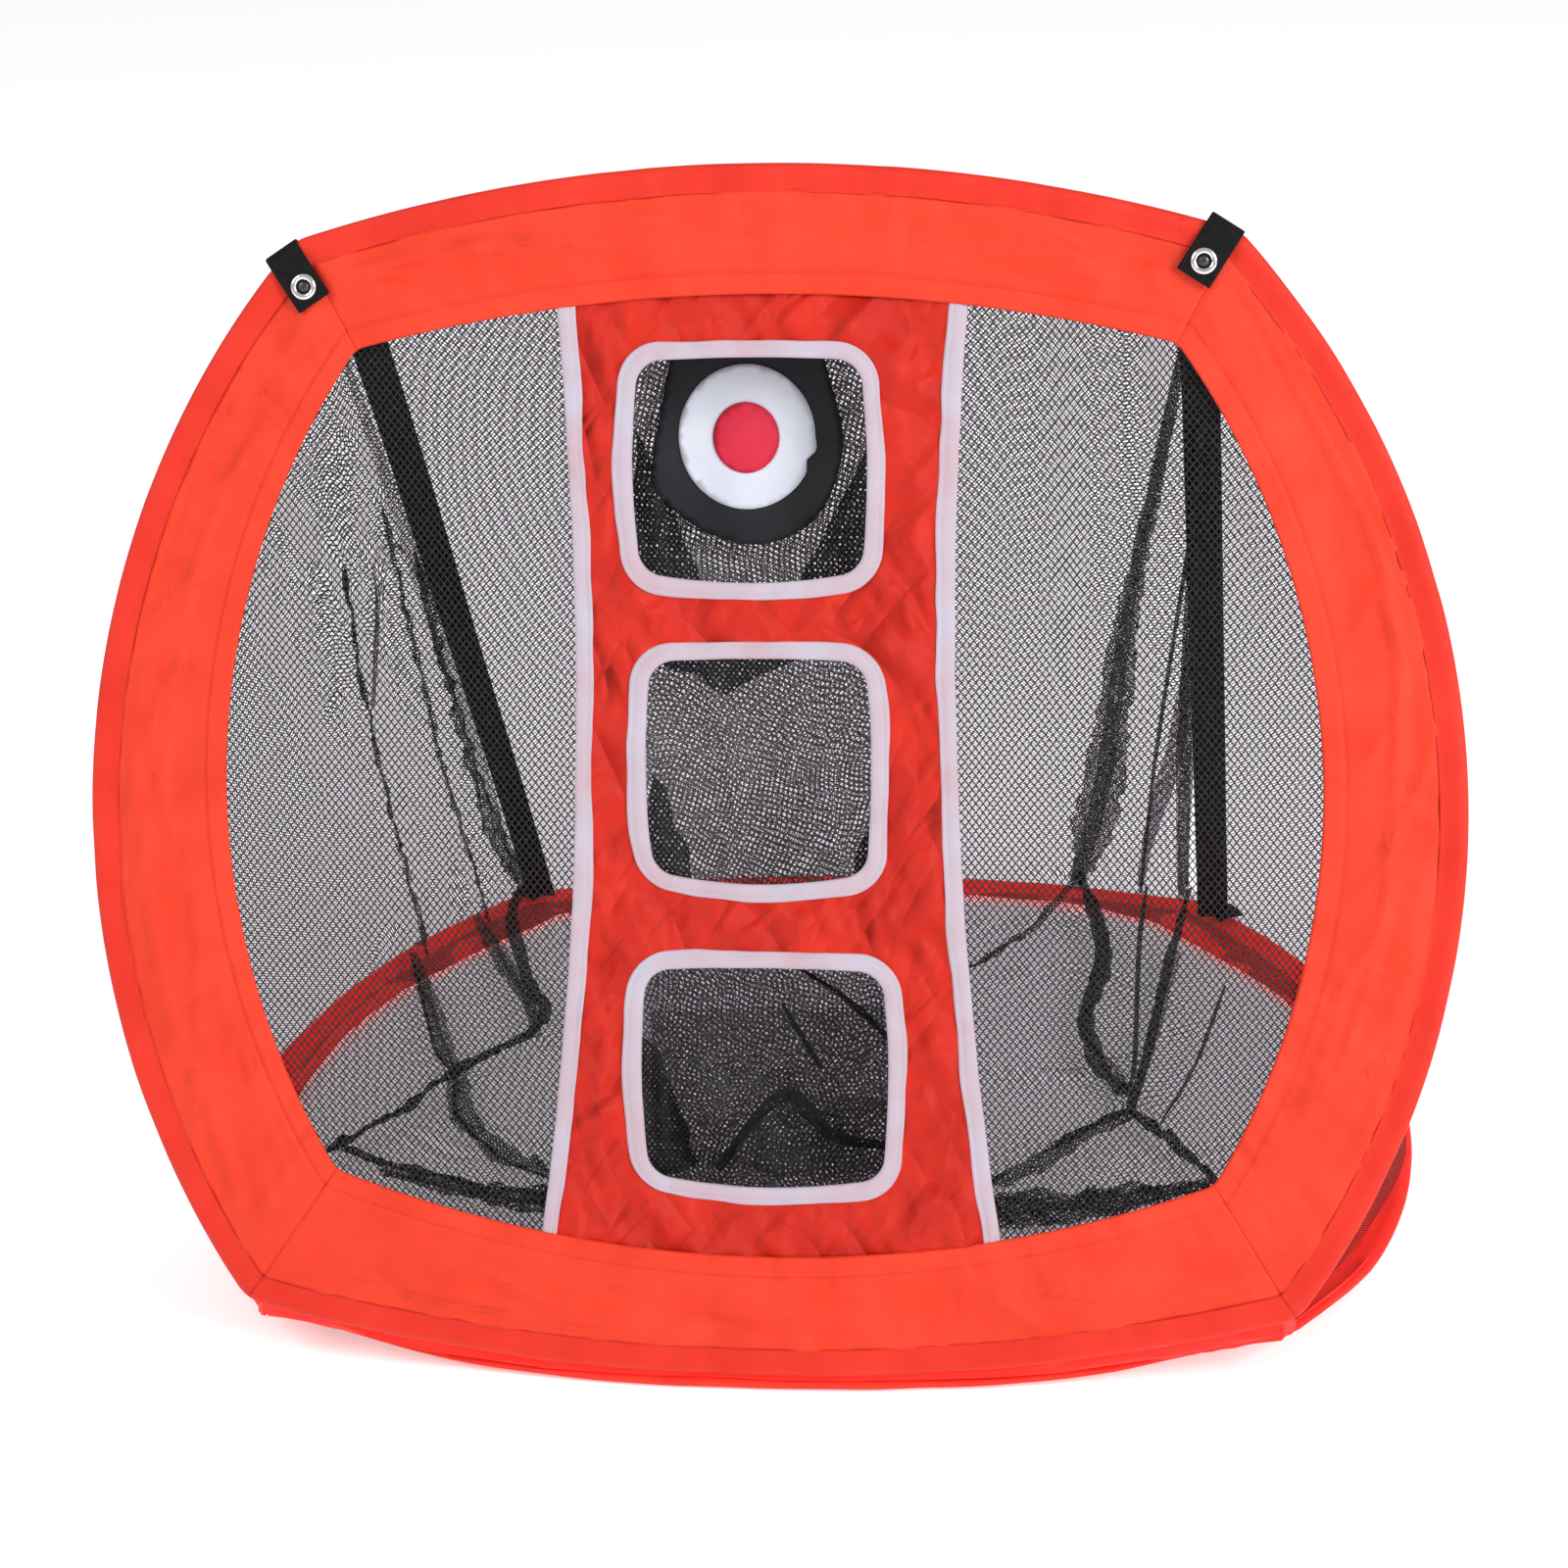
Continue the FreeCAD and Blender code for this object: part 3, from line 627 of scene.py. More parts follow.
# pink patches: partly red cloth showing through the tape, partly painted red reflection
TAPE_WHITE = cloth_material(
    "tape_white", (0.46, 0.33, 0.375), (0.45, 0.42, 0.50),
    0.6, 0.05, 0.0012, 0.10,
)
WEBBING = webbing_material("webbing_black", (0.0035, 0.0035, 0.004), (0.008, 0.008, 0.009))
WINDOW_NET = net_material("window_net", 0.42)
BAG_NET = net_material("bag_net", 0.47, (0.0026, 0.0033))
# painted shade: a denser copy of the bag net that darkens the left side net
SHADED_NET = net_material("bag_net_shaded", 0.54, (0.0026, 0.0033))
FLOOR_NET = net_material("floor_net", 0.38, (0.0030, 0.0038))
DENSE_NET = net_material("bunched_net", 0.74, (0.0028, 0.0035), 0.014)
SEAM_NET = net_material("net_seam", 0.92, (0.0026, 0.0034), 0.009)
POCKET_NET = net_material("pocket_net", 0.53, (0.0034, 0.0044), 0.075, 0.34)
# darker threads: gathered net together with painted shade at the pocket's bottom
POCKET_GATHER_SHADE = net_material("pocket_gather_shade", 0.47, (0.0031, 0.0040), 0.030, 0.34)
# painted shade: a dark, dense net laid where the pocket's corners are in shade
POCKET_SHADE = net_material("pocket_shade", 0.77, (0.0029, 0.0037), 0.016, 0.30)
TARGET_BLACK = cloth_material(
    "target_black", (0.019, 0.018, 0.022), (0.028, 0.027, 0.033), 0.5, 0.05,
)
TARGET_WHITE = cloth_material("target_white", (0.80, 0.84, 0.96), (0.86, 0.90, 1.0), 0.5, 0.05)
TARGET_RED = cloth_material("target_red", (0.74, 0.025, 0.060), (0.84, 0.040, 0.085), 0.5, 0.05)
NICKEL = metal_material("nickel", (0.62, 0.62, 0.63), (0.82, 0.82, 0.83), 0.18)
DARK_STEEL = metal_material("dark_steel", (0.05, 0.05, 0.055), (0.12, 0.12, 0.13), 0.35)
SPRING_STEEL = metal_material("spring_steel", (0.36, 0.37, 0.39), (0.5, 0.51, 0.53), 0.3)


# ---------------------------------------------------------------- sleeves and borders

def sleeve_section(tail, count=18):
    """Inset and half-thickness offsets round the casing: full at the wire, thin at the seam.
    A tail is the flat band of doubled cloth that goes on inward from the seam."""
    inset = 0.5 * (1 - np.cos(np.linspace(0, pi, count // 2 + 1)))
    full = np.sqrt(np.clip(1 - (1 - inset / 0.34) ** 2, 0, 1)) * (inset < 0.34) + (inset >= 0.34)
    half = (2.45 * full - 1.55 * ease(inset, 0.3, 0.9)) * MM
    inset = inset * SLEEVE_WIDTH
    if tail:
        half[-1] = 0.0005
        extra = np.linspace(0.002, tail, 7)
        inset = np.concatenate([inset, SLEEVE_WIDTH + extra])
        half = np.concatenate([half, 0.0008 + 0 * extra])
        half[-1] = 0.0004
    d = np.concatenate([inset[::-1], inset[1:-1]])
    n = np.concatenate([half[::-1], -half[1:-1]])
    return d, n


def cloth_sleeve(node_name, side, body, material):
    """The casing of one side of a hoop. On the ground hoop it has a tail inside the ring."""
    name = node_name + "_cloth"
    on_floor = body == "base"
    tail = BASE_TAIL if on_floor else 0.0
    q = HOOP.side(side, 190)
    d, n = sleeve_section(tail)
    edge = HOOP.at(q)
    s = run_along(edge)
    grid_s, grid_d = s[:, None], d[None, :]
    grid_n = np.broadcast_to(n[None, :], (len(q), len(d)))
    seed = 31 * side + len(name)
    pucker = noise(grid_s / 0.007 + 40, grid_d / 0.03, seed) * 0.0003 * ease(grid_d, 0.002, 0.012)
    roll = fbm(grid_s / 0.05, grid_d / 0.02, seed + 5) * 0.0005
    band = (1 + fbm(grid_s / 0.04, grid_d / 0.02, seed + 11)) * 0.0016 * ease(grid_d, 0.015, 0.024)
    height = grid_n + np.sign(grid_n) * pucker + roll * (np.abs(grid_n) > 0) + band
    if tail:
        height = np.maximum(height, -0.0025)
    inset = grid_d + noise(grid_s / 0.03, 0 * grid_s, seed + 9) * 0.0003
    if tail:
        near_corner = np.exp(-((np.abs(edge[:, :1]) - 0.25) / 0.07) ** 2)
        near_corner = near_corner * ease(edge[:, 1:], 0.10, 0.30)
        inset = inset + ease(grid_d, 0.0145, 0.014 + tail) * 0.020 * near_corner
    flat = HOOP.at(q[:, None], np.maximum(inset, 0.0))
    points = (on_base_sleeve if on_floor else on_panel)(flat, height)
    around = 0.0016 * np.arange(1, len(d) + 1)[None, :]
    uv = pair(grid_s, around)
    attach(
        skin(name, points, uv, material), body, node_name, "red_sleeve_fabric",
        SLEEVE_PRESS if on_floor else None, flat=(0.016 + tail, float(s[-1])), held="folded",
    )


def cloth_border(name, side):
    """Wide border: plain face, stitched hem and a soft roll at the window's edge."""
    q = HOOP.side(side, 150, 4)
    columns = np.concatenate([np.linspace(0, 0.72, 16), np.linspace(0.745, 1.0, 20)])
    outer = HOOP.at(q, 0.0128)
    inner = OPENING.at(q)
    width = np.linalg.norm(inner - outer, axis=1)[:, None]
    t = columns[None, :]
    flat = outer[:, None] * (1 - t[..., None]) + inner[:, None] * t[..., None]
    s = run_along(outer)[:, None]
    from_edge = (1 - t) * width
    seed = 7 + side
    mitre = np.minimum(s, s[-1] - s)
    loose = ease(from_edge, 0.008, 0.03) * ease(t * width, 0.0, 0.012) * ease(mitre, 0.0, 0.02)
    waves = fbm(s / 0.09 + t * 1.4, t * 1.3, seed) * 0.0032
    ridges = creases(s / 0.065 + t * 1.9 + 3, t * 1.3 + 5, seed + 3) * 0.0028
    ridges = ridges + creases(s / 0.24 + 1, t * 2.4 + s * 2, seed + 6) * 0.0028
    puckers = noise(s / 0.008, t * 2.0, seed + 8) * 0.0004 * np.exp(-(t * width) / 0.010)
    hem = ease(-from_edge, -HEM_WIDTH, -HEM_WIDTH + 0.0012) * 0.0006
    groove = np.exp(-((from_edge - HEM_WIDTH) / 0.0011) ** 2) * 0.0007
    groove = groove + np.exp(-((t * width - 0.0012) / 0.0012) ** 2) * 0.0006
    mitre_groove = np.exp(-(mitre / 0.0012) ** 2) * 0.0006
    near_hem = np.exp(-((from_edge - HEM_WIDTH) / 0.003) ** 2)
    stitch = noise(s / 0.0042, 0 * s, seed + 21) * 0.0002 * near_hem
    roll = np.sqrt(np.clip(1 - np.clip(1 - from_edge / 0.0011, 0, 1) ** 2, 0, 1))
    lift = 0.0009 + loose * (waves + ridges) + puckers + hem - groove - mitre_groove + stitch
    thickness = 0.0008 + hem
    front = lift * roll - (1 - roll) * 0.0001
    back = lift - thickness * roll - 0.0003
    back = np.minimum(back, front - 0.00005)
    uv = pair(np.broadcast_to(s, front.shape), t * width)
    piece = thick_cloth(
        "border_" + name + "_cloth", grid_faces(*front.shape), on_panel(flat, front),
        on_panel(flat, back), uv, BORDER_RED,
    )
    attach(
        piece, "front_panel", "border_" + name, "red_border_fabric",
        flat=(float(s[-1, 0]), float(width.mean()) + HEM_WIDTH), held="stretched",
    )


def hoop_wire(prefix, body):
    """A closed wire that follows the hoop inside its sleeve."""
    on_floor = body == "base"
    q = np.linspace(0, 8, 480, endpoint=False)[:, None]
    a = np.linspace(0, 2 * pi, 8, endpoint=False)[None, :]
    flat = HOOP.at(q, WIRE_INSET + WIRE_RADIUS * np.cos(a))
    points = (on_base_sleeve if on_floor else on_panel)(flat, WIRE_RADIUS * np.sin(a))
    uv = pair(q * 0.25, a * WIRE_RADIUS)
    wire = skin(prefix + "_hoop_wire_bent", points, uv, SPRING_STEEL, looped=True)
    attach(
        wire, body, prefix + "_hoop_wire", "spring_steel", SLEEVE_PRESS if on_floor else None
    )
    # the ferrule stays as the CAD has it and gets the wire's steel
    ferrule = frame["nodes"][prefix + "_hoop_ferrule"].data.materials
    ferrule.clear()
    ferrule.append(SPRING_STEEL)


def make_hoop_cloth():
    for name, side in SIDES.items():
        cloth_sleeve("front_sleeve_" + name, side, "front_panel", SLEEVE_RED)
        cloth_border(name, side)
    for side, name in enumerate(("front", "right", "rear", "left")):
        # the ring's sides and rear get the brighter, glowing red: painted light for cloth in shade
        cloth_sleeve("base_sleeve_" + name, side, "base", GROUND_RED if side == 0 else RING_RED_LIT)
    hoop_wire("front", "front_panel")
    hoop_wire("base", "base")


# ---------------------------------------------------------------- centre strip and bindings

def outline_loop(outline, inset, steps=26, corner_steps=6):
    q = [np.linspace(i, i + 1, (steps, corner_steps)[i % 2])[:-1] for i in range(8)]
    return outline.at(np.concatenate(q), inset)


def strip_height(flat):
    """How far the thin strip stands out of its plane: soft folds drawn from hole to hole."""
    shape, flat = flat.shape[:-1], flat.reshape(-1, 2)
    u, v = flat[:, 0], flat[:, 1]
    free = ease(strip_half(v) - np.abs(u), 0.004, 0.020)
    gap, covered = np.full(len(u), 1e9), np.zeros(len(u), bool)
    for outline in HOLE_OUTLINES.values():
        loop = outline_loop(outline, -TAPE_WIDTH - 0.0006, 12, 10)
        covered |= inside(flat, loop)
        gap = np.minimum(gap, distance_to_loop(flat, loop))
    free = free * ease(gap, 0.0006, 0.010) * (1 - covered)
    free = free * ease(v, 0.062, 0.080) * ease(-v, -0.540, -0.522)
    lean = u * 0.6 * np.sign(v - 0.3)
    long_folds = creases(u / 0.026 + 7, (v + lean) / 0.085, 41) * 0.0036
    cross = creases((u + v * 0.8) / 0.030 + 2, (v - u) / 0.050, 77) * 0.0030
    soft = fbm(u / 0.030, v / 0.042, 12) * 0.0036
    return (free * (long_folds + cross + soft) + (1 - free) * soft * 0.15).reshape(shape)


def make_strip():
    v = np.linspace(STRIP_V[0], STRIP_V[2], 120)
    half = strip_half(v) - 0.0004
    right = pair(half, v)
    left = pair(-half, v)[::-1]
    top = np.linspace(right[-1], left[0], 40)[1:-1]
    bottom = np.linspace(left[-1], right[0], 46)[1:-1]
    outer = np.concatenate([right, top, left, bottom])
    holes = [outline_loop(o, -0.002, 30, 8) for o in HOLE_OUTLINES.values()]
    flat, tris = flat_cloth(outer, holes, 0.0030)
    height = STRIP_N + strip_height(flat)
    piece = thick_cloth(
        "centre_strip_cloth", tris.tolist(), on_panel(flat, height + 0.0003),
        on_panel(flat, height - 0.0003), flat, STRIP_RED,
    )
    attach(
        piece, "front_panel", "centre_strip", "red_strip_fabric",
        flat=(0.238, 0.503), held="stretched", area=pattern_area(flat, tris) * 1.03,
    )


def binding(node_name, line, inward, closed):
    """Folded tape round a cloth edge: line is the free edge, inward points into the cloth."""
    s = run_along(line)[:, None]
    # the row of stitches draws the tape in near its far edge
    across = np.array([[0.0, 0.0006, 0.0020, 0.0042, 0.0058, 0.0066, 0.0074, 0.0085, TAPE_WIDTH]])
    bulk = np.array([[0.0007, 0.0013, 0.0016, 0.0017, 0.0015, 0.0011, 0.0014, 0.0014, 0.0008]])
    seed = len(node_name)
    ripple = noise(s / 0.008 + across / 0.011, across / 0.012, seed) * 0.00052
    sway = fbm(s / 0.05, 0 * s, seed + 4) * 0.0011
    if closed:
        join = ease(s, s[-1] - 0.03, s[-1])
        ripple, sway = [a * (1 - join) + a[:1] * join for a in (ripple, sway)]
    height = bulk + ripple
    flat_across = across + sway * (0.3 + across / TAPE_WIDTH)
    flat = line[:, None] + inward[:, None] * flat_across[..., None]
    lift = STRIP_N + strip_height(flat)
    rings = np.concatenate(
        [on_panel(flat, lift + height), on_panel(flat, lift - height)[:, ::-1]], 1
    )
    uv = pair(s, across)
    uv = np.concatenate([uv, uv[:, ::-1]], 1)
    piece = skin(node_name + "_cloth", rings, uv, TAPE_WHITE, looped=closed)
    if closed:
        # where the loop closes, its cloth runs on past the last row instead of starting again
        cols, layer = rings.shape[1], piece.data.uv_layers[0].data
        length = float(s[-1, 0] + np.linalg.norm(line[0] - line[-1]))
        for face in list(piece.data.polygons)[-cols:]:
            for k in face.loop_indices:
                if piece.data.loops[k].vertex_index < cols:
                    layer[k].uv[0] = length
    attach(piece, "front_panel", node_name, "white_bias_tape")


def make_bindings():
    for name, outline in HOLE_OUTLINES.items():
        q = np.linspace(0, 8, 240, endpoint=False)
        line = outline.at(q)
        binding("hole_tape_" + name, line, unit(outline.at(q, -0.001) - line), True)
    for side, name in HANDS:
        v = np.linspace(0.058, 0.547, 260)
        line = pair(side * (strip_half(v) + 0.0006), v)
        inward = pair(np.full_like(v, -side), 0 * v)
        binding("strip_tape_" + name, line, inward, False)


# ---------------------------------------------------------------- nets

def span_areas(plain):
    """Area of the plain surface between the hoops below and above the fold's middle plane."""
    one, other = plain[1:, 1:] - plain[:-1, :-1], plain[1:, :-1] - plain[:-1, 1:]
    area = np.linalg.norm(np.cross(one, other), axis=-1) / 2
    middle = (plain[1:, 1:] + plain[:-1, :-1]) / 2 - np.array(HINGE)
    above = middle[..., 2] * cos(HALF_WEDGE) - middle[..., 1] * sin(HALF_WEDGE) > 0
    return float(area[~above].sum()), float(area[above].sum())


def gather(points, normals, pinned, route, width, lift=0.008, fold=2.1):
    """Draws cloth into a fold along a route: it doubles back on itself, three layers deep.
    Width is the fold's half width along the route, and pinned is 0 where the cloth is sewn."""
    line = smooth_route(route, 24)
    widths = np.interp(np.linspace(0, 1, 24), np.linspace(0, 1, len(width)), width)
    best = np.full(len(points), 1e9)
    signed, beyond = np.zeros(len(points)), np.zeros(len(points))
    sideways, local = np.zeros_like(points), np.full(len(points), widths[0])
    for k in range(len(line) - 1):
        a, step = line[k], line[k + 1] - line[k]
        length = np.linalg.norm(step)
        raw = (points - a) @ step / length ** 2
        t = np.clip(raw, 0, 1)
        offset = points - a - t[:, None] * step
        gap = np.linalg.norm(offset, axis=1)
        closer = gap < best
        perp = np.cross(normals, step / length)
        perp /= np.maximum(np.linalg.norm(perp, axis=1, keepdims=True), 1e-9)
        best[closer] = gap[closer]
        sideways[closer] = perp[closer]
        signed[closer] = np.einsum("ij,ij->i", offset, perp)[closer]
        over = np.zeros(len(points))
        if k == 0:
            over = np.maximum(-raw, 0) * length
        if k == len(line) - 2:
            over = np.maximum(raw - 1, 0) * length
        beyond[closer] = over[closer]
        local[closer] = (widths[k] + t * (widths[k + 1] - widths[k]))[closer]
    r = signed / local
    fade = np.exp(-(beyond / local) ** 2) * pinned
    pull = -fold * local * r * np.exp(-r * r / 2) * fade
    rise = lift * (np.exp(-r * r / 2) + 0.6 * r * np.exp(-r * r / 3)) * fade
    return points + sideways * pull[:, None] + normals * rise[:, None]


class Cloth:
    """Collects patches of net that are sewn into one piece."""

    def __init__(self):
        self.points, self.faces, self.uvs, self.kinds = [], [], [], []
        self.count = 0

    def add(self, points, faces, uv, kind=0):
        points = np.asarray(points).reshape(-1, 3)
        self.faces += [[self.count + a for a in f] for f in faces]
        self.points.append(points)
        self.uvs.append(np.asarray(uv).reshape(-1, 2))
        self.kinds += [kind] * len(faces)
        self.count += len(points)

    def ribbon(self, route, width, normal, kind=1, seed=0, crumple=0.003, across=7, steps=70):
        """A bunched band of net along a route."""
        line = smooth_route(route, steps)
        part = np.linspace(0, len(width) - 1, steps)[:, None]
        half = np.interp(part, np.arange(len(width)), width) / 2
        tangent = unit(np.gradient(line, axis=0))
        side = unit(np.cross(tangent, np.asarray(normal, float)))
        up = np.cross(side, tangent)
        s = run_along(line)[:, None]
        c = np.linspace(-1, 1, across)[None, :]
        ragged = 1 + 0.22 * ease(half, 0.002, 0.006) * noise(s / 0.011, 3 * np.sign(c), seed)
        wave = np.minimum(crumple, half) * fbm(s / 0.012 + c, c * 1.7, seed + 3)
        place = line[:, None] + side[:, None] * (c * half * ragged)[..., None]
        uv = pair(c * half * 1.5, s)
        self.add(place + up[:, None] * wave[..., None], grid_faces(steps, across), uv, kind)

    def build(self, name, materials):
        piece = make_object(
            name, np.concatenate(self.points), self.faces, np.concatenate(self.uvs), materials[0]
        )
        for extra in materials[1:]:
            piece.data.materials.append(extra)
        piece.data.polygons.foreach_set("material_index", self.kinds)
        return piece


def make_windows():
    for side, name in HANDS:
        edge = np.linspace(0.067, 0.545, 90)
        inner = pair(side * (strip_half(edge) - WINDOW_SEAM), edge)
        ring = OPENING.at(np.linspace(0, 8, 400, endpoint=False), -WINDOW_SEAM)
        ring = ring[ring[:, 0] * side > strip_half(ring[:, 1]) - WINDOW_SEAM]
        outer = ring[np.argsort(np.arctan2(ring[:, 1] - 0.31, ring[:, 0] * side))]
        loop = np.concatenate([outer, inner[::-1]])[::side]
        flat, tris = flat_cloth(loop, [], 0.006)
        u, v = flat[:, 0], flat[:, 1]
        wave = fbm(u / 0.11, v / 0.16, 3 + side) * 0.0012
        uv = flat + 0.0012 * pair(fbm(u / 0.1, v / 0.1, 9), wave * 300)
        piece = make_object(
            "window_net_" + name + "_mesh", on_panel(flat, WINDOW_N + wave), tris.tolist(), uv,
            WINDOW_NET,
        )
        attach(
            piece, "front_panel", "window_net_" + name, "black_net",
            flat=(0.185, 0.478), held="stretched", area=pattern_area(flat, tris),
        )


# folds that run on from the bag's walls over its floor, in metres on the ground
FLOOR_FOLDS = [
    ([(-0.276, 0.150), (-0.262, 0.120), (-0.240, 0.060), (-0.222, 0.012)], (0.008, 0.011, 0.007)),
    ([(-0.236, 0.200), (-0.214, 0.150), (-0.190, 0.095), (-0.182, 0.060)], (0.009, 0.012, 0.009)),
    ([(0.150, 0.262), (0.163, 0.220), (0.164, 0.160), (0.154, 0.080), (0.176, 0.0)],
     (0.013, 0.009, 0.009)),
    ([(0.212, 0.180), (0.192, 0.040), (0.184, -0.013)], (0.006, 0.009, 0.006)),
]
# seams and bunches over the floor: route, width and kind (1 bunched net, 2 sewn seam)
FLOOR_SEAMS = [
    ([(-0.2800, 0.166), (-0.268, 0.130), (-0.250, 0.075), (-0.234, 0.030), (-0.220, 0.004)],
     0.0075, 1),
    ([(-0.2820, 0.164), (-0.270, 0.130), (-0.253, 0.075), (-0.238, 0.030), (-0.222, 0.004)],
     0.0022, 2),
    ([(-0.2500, 0.222), (-0.232, 0.180), (-0.210, 0.132), (-0.190, 0.090), (-0.182, 0.070)],
     0.0080, 1),
    ([(-0.2215, 0.243, 0.020), (-0.224, 0.214), (-0.198, 0.128), (-0.181, 0.090),
     (-0.182, 0.060), (-0.200, 0.038)], 0.0075, 2),
    ([(-0.200, 0.038), (-0.222, 0.008), (-0.246, -0.044), (-0.274, -0.080), (-0.280, -0.100)],
     0.0062, 2),
    ([(-0.221, 0.010), (-0.206, -0.046), (-0.172, -0.090), (-0.140, -0.112)], 0.013, 1),
    ([(-0.221, 0.010), (-0.211, -0.044), (-0.177, -0.092), (-0.144, -0.116)], 0.003, 2),
    ([(-0.274, -0.084), (-0.236, -0.104), (-0.180, -0.124)], 0.0045, 2),
    ([(0.148, 0.254, 0.030), (0.160, 0.220, 0.016), (0.165, 0.160), (0.155, 0.085),
     (0.166, 0.020), (0.180, -0.006)], 0.010, 2),
    ([(0.148, 0.254, 0.030), (0.126, 0.222, 0.014), (0.100, 0.180), (0.078, 0.148)], 0.0052, 1),
    ([(0.193, 0.235, 0.030), (0.188, 0.185), (0.185, 0.042), (0.182, 0.0)], 0.003, 2),
    ([(0.2205, 0.222, 0.035), (0.206, 0.160), (0.191, 0.031), (0.183, -0.016), (0.182, -0.030)],
     0.0055, 2),
    ([(0.241, 0.132), (0.221, 0.032), (0.199, -0.043)], 0.0022, 2),
    ([(0.183, -0.028), (0.160, -0.052), (0.134, -0.084), (0.104, -0.112)], 0.012, 1),
    ([(0.183, -0.026), (0.158, -0.048), (0.130, -0.080)], 0.004, 2),
    ([(0.183, -0.028), (0.204, -0.058), (0.230, -0.106), (0.236, -0.120)], 0.0065, 2),
]


def floor_route(route, height):
    """Stops as points in space; a stop may carry its own height, where it climbs the wall."""
    return [np.array([*stop, height][:3]) for stop in route]


def make_floor_net():
    loop = outline_loop(HOOP, SLEEVE_WIDTH + 0.004, 60, 8)
    flat, tris = flat_cloth(loop, [], 0.0055)
    ripple = creases(flat[:, 0] / 0.14, flat[:, 1] / 0.10, 51) * 0.006
    sewn = ease(distance_to_loop(flat, loop), 0.0, 0.02)
    ripple = ripple - 0.0014 + 0.0012 * (1 + fbm(flat[:, 0] / 0.08, flat[:, 1] / 0.08, 5))
    z = 0.0042 + sewn * ripple
    points = on_ground(flat, z)
    normals = np.broadcast_to([0.0, 0.0, 1.0], points.shape)
    for route, width in FLOOR_FOLDS:
        points = gather(points, normals, sewn, floor_route(route, 0.004), width, 0.007)
    points[:, 2] = np.maximum(points[:, 2], 0.0012)
    cloth = Cloth()
    cloth.add(points, tris.tolist(), flat)
    for k, (route, width, kind) in enumerate(FLOOR_SEAMS):
        widths = (width * 0.7, width * 1.2, width, width * 1.1, width * 0.6)
        cloth.ribbon(floor_route(route, 0.011), widths, (0, 0, 1), kind, 90 + k, 0.0035)
    # the slack along the front edge lies in heaps behind the panel's lower border
    for k, (y, z, wide) in enumerate(((-0.144, 0.011, 0.020), (-0.150, 0.018, 0.018))):
        bends = ((-0.240, 0.030), (-0.150, 0.004), (0, -0.008), (0.140, 0.006), (0.226, 0.032))
        route = [(x, y + back, z) for x, back in bends]
        widths = (0.003, wide * 0.7, wide * 1.3, wide, 0.006)
        cloth.ribbon(route, widths, (0, -0.4, 1), 1, 140 + k, 0.006, 11, 150)
    attach(
        cloth.build("floor_net_mesh", [FLOOR_NET, DENSE_NET, SEAM_NET]), "base", "floor_net",
        "black_net", FLOOR_PRESS, flat=(0.70, 0.62), held="laid",
        rests_on=["base_sleeve_front_cloth"],
    )


BISECTOR = np.array([0.0, cos(HALF_WEDGE), sin(HALF_WEDGE)])
FOLDED_WEDGE = (pi / 2 - LEAN) - radians(JOINTS["panel_fold"]["range_deg"][1])
KEEP_FOLDED = float(np.tan(FOLDED_WEDGE / 2) / np.tan(HALF_WEDGE))


def halves(piece):
    """Cuts a piece along the plane midway between the hoops, so that each half can go with its
    own hoop: (ground half, panel half)."""
    normal = Vector((0.0, -sin(HALF_WEDGE), cos(HALF_WEDGE)))
    results = []
    for label, keep_above in (("_lower", False), ("_upper", True)):
        copy = piece.copy()
        copy.data = piece.data.copy()
        copy.name = piece.name + label
        copy.data.name = copy.name
        bpy.context.scene.collection.objects.link(copy)
        mesh = bmesh.new()
        mesh.from_mesh(copy.data)
        bmesh.ops.bisect_plane(
            mesh, geom=mesh.verts[:] + mesh.edges[:] + mesh.faces[:], dist=1e-7,
            plane_co=HINGE, plane_no=normal, clear_inner=keep_above, clear_outer=not keep_above,
        )
        mesh.to_mesh(copy.data)
        mesh.free()
        results.append(copy)
    bpy.data.objects.remove(piece)
    return results


def fold_between_hoops(piece, node_name, slot_name, plain, held):
    """Gives a cloth that spans the fold its two halves and their bodies.
    It was cut to its plain surface, the one without sag, folds or gathers."""
    length = float(run_along(plain)[-1].max())
    height = float(run_along(plain, 1)[:, -1].max())
    sides = (("base", (0, 0, 1)), ("front_panel", tuple(OUT_PANEL)))
    for part, area, (body, axis) in zip(halves(piece), span_areas(plain), sides):
        attach(
            part, body, node_name, slot_name, (axis, tuple(HINGE), KEEP_FOLDED),
            flat=(length, height / 2), held=held, area=area,
        )


def between_hoops(q, t, reach=0.0):
    """A point of the net's plain surface: t is 0 at the ground hoop and 1 at the panel.
    Reach moves the lower edge out over the ring, behind its rear half."""
    q, t = np.broadcast_arrays(np.asarray(q, float), np.asarray(t, float))
    flat = HOOP.at(q, NET_INSET)
    outer = HOOP.at(q, NET_INSET - reach * ease(flat[..., 1], 0.14, 0.26))
    low = on_ground(outer, 0.0048)
    high = on_panel(flat, -0.0012)
    return low * (1 - t[..., None]) + high * t[..., None]


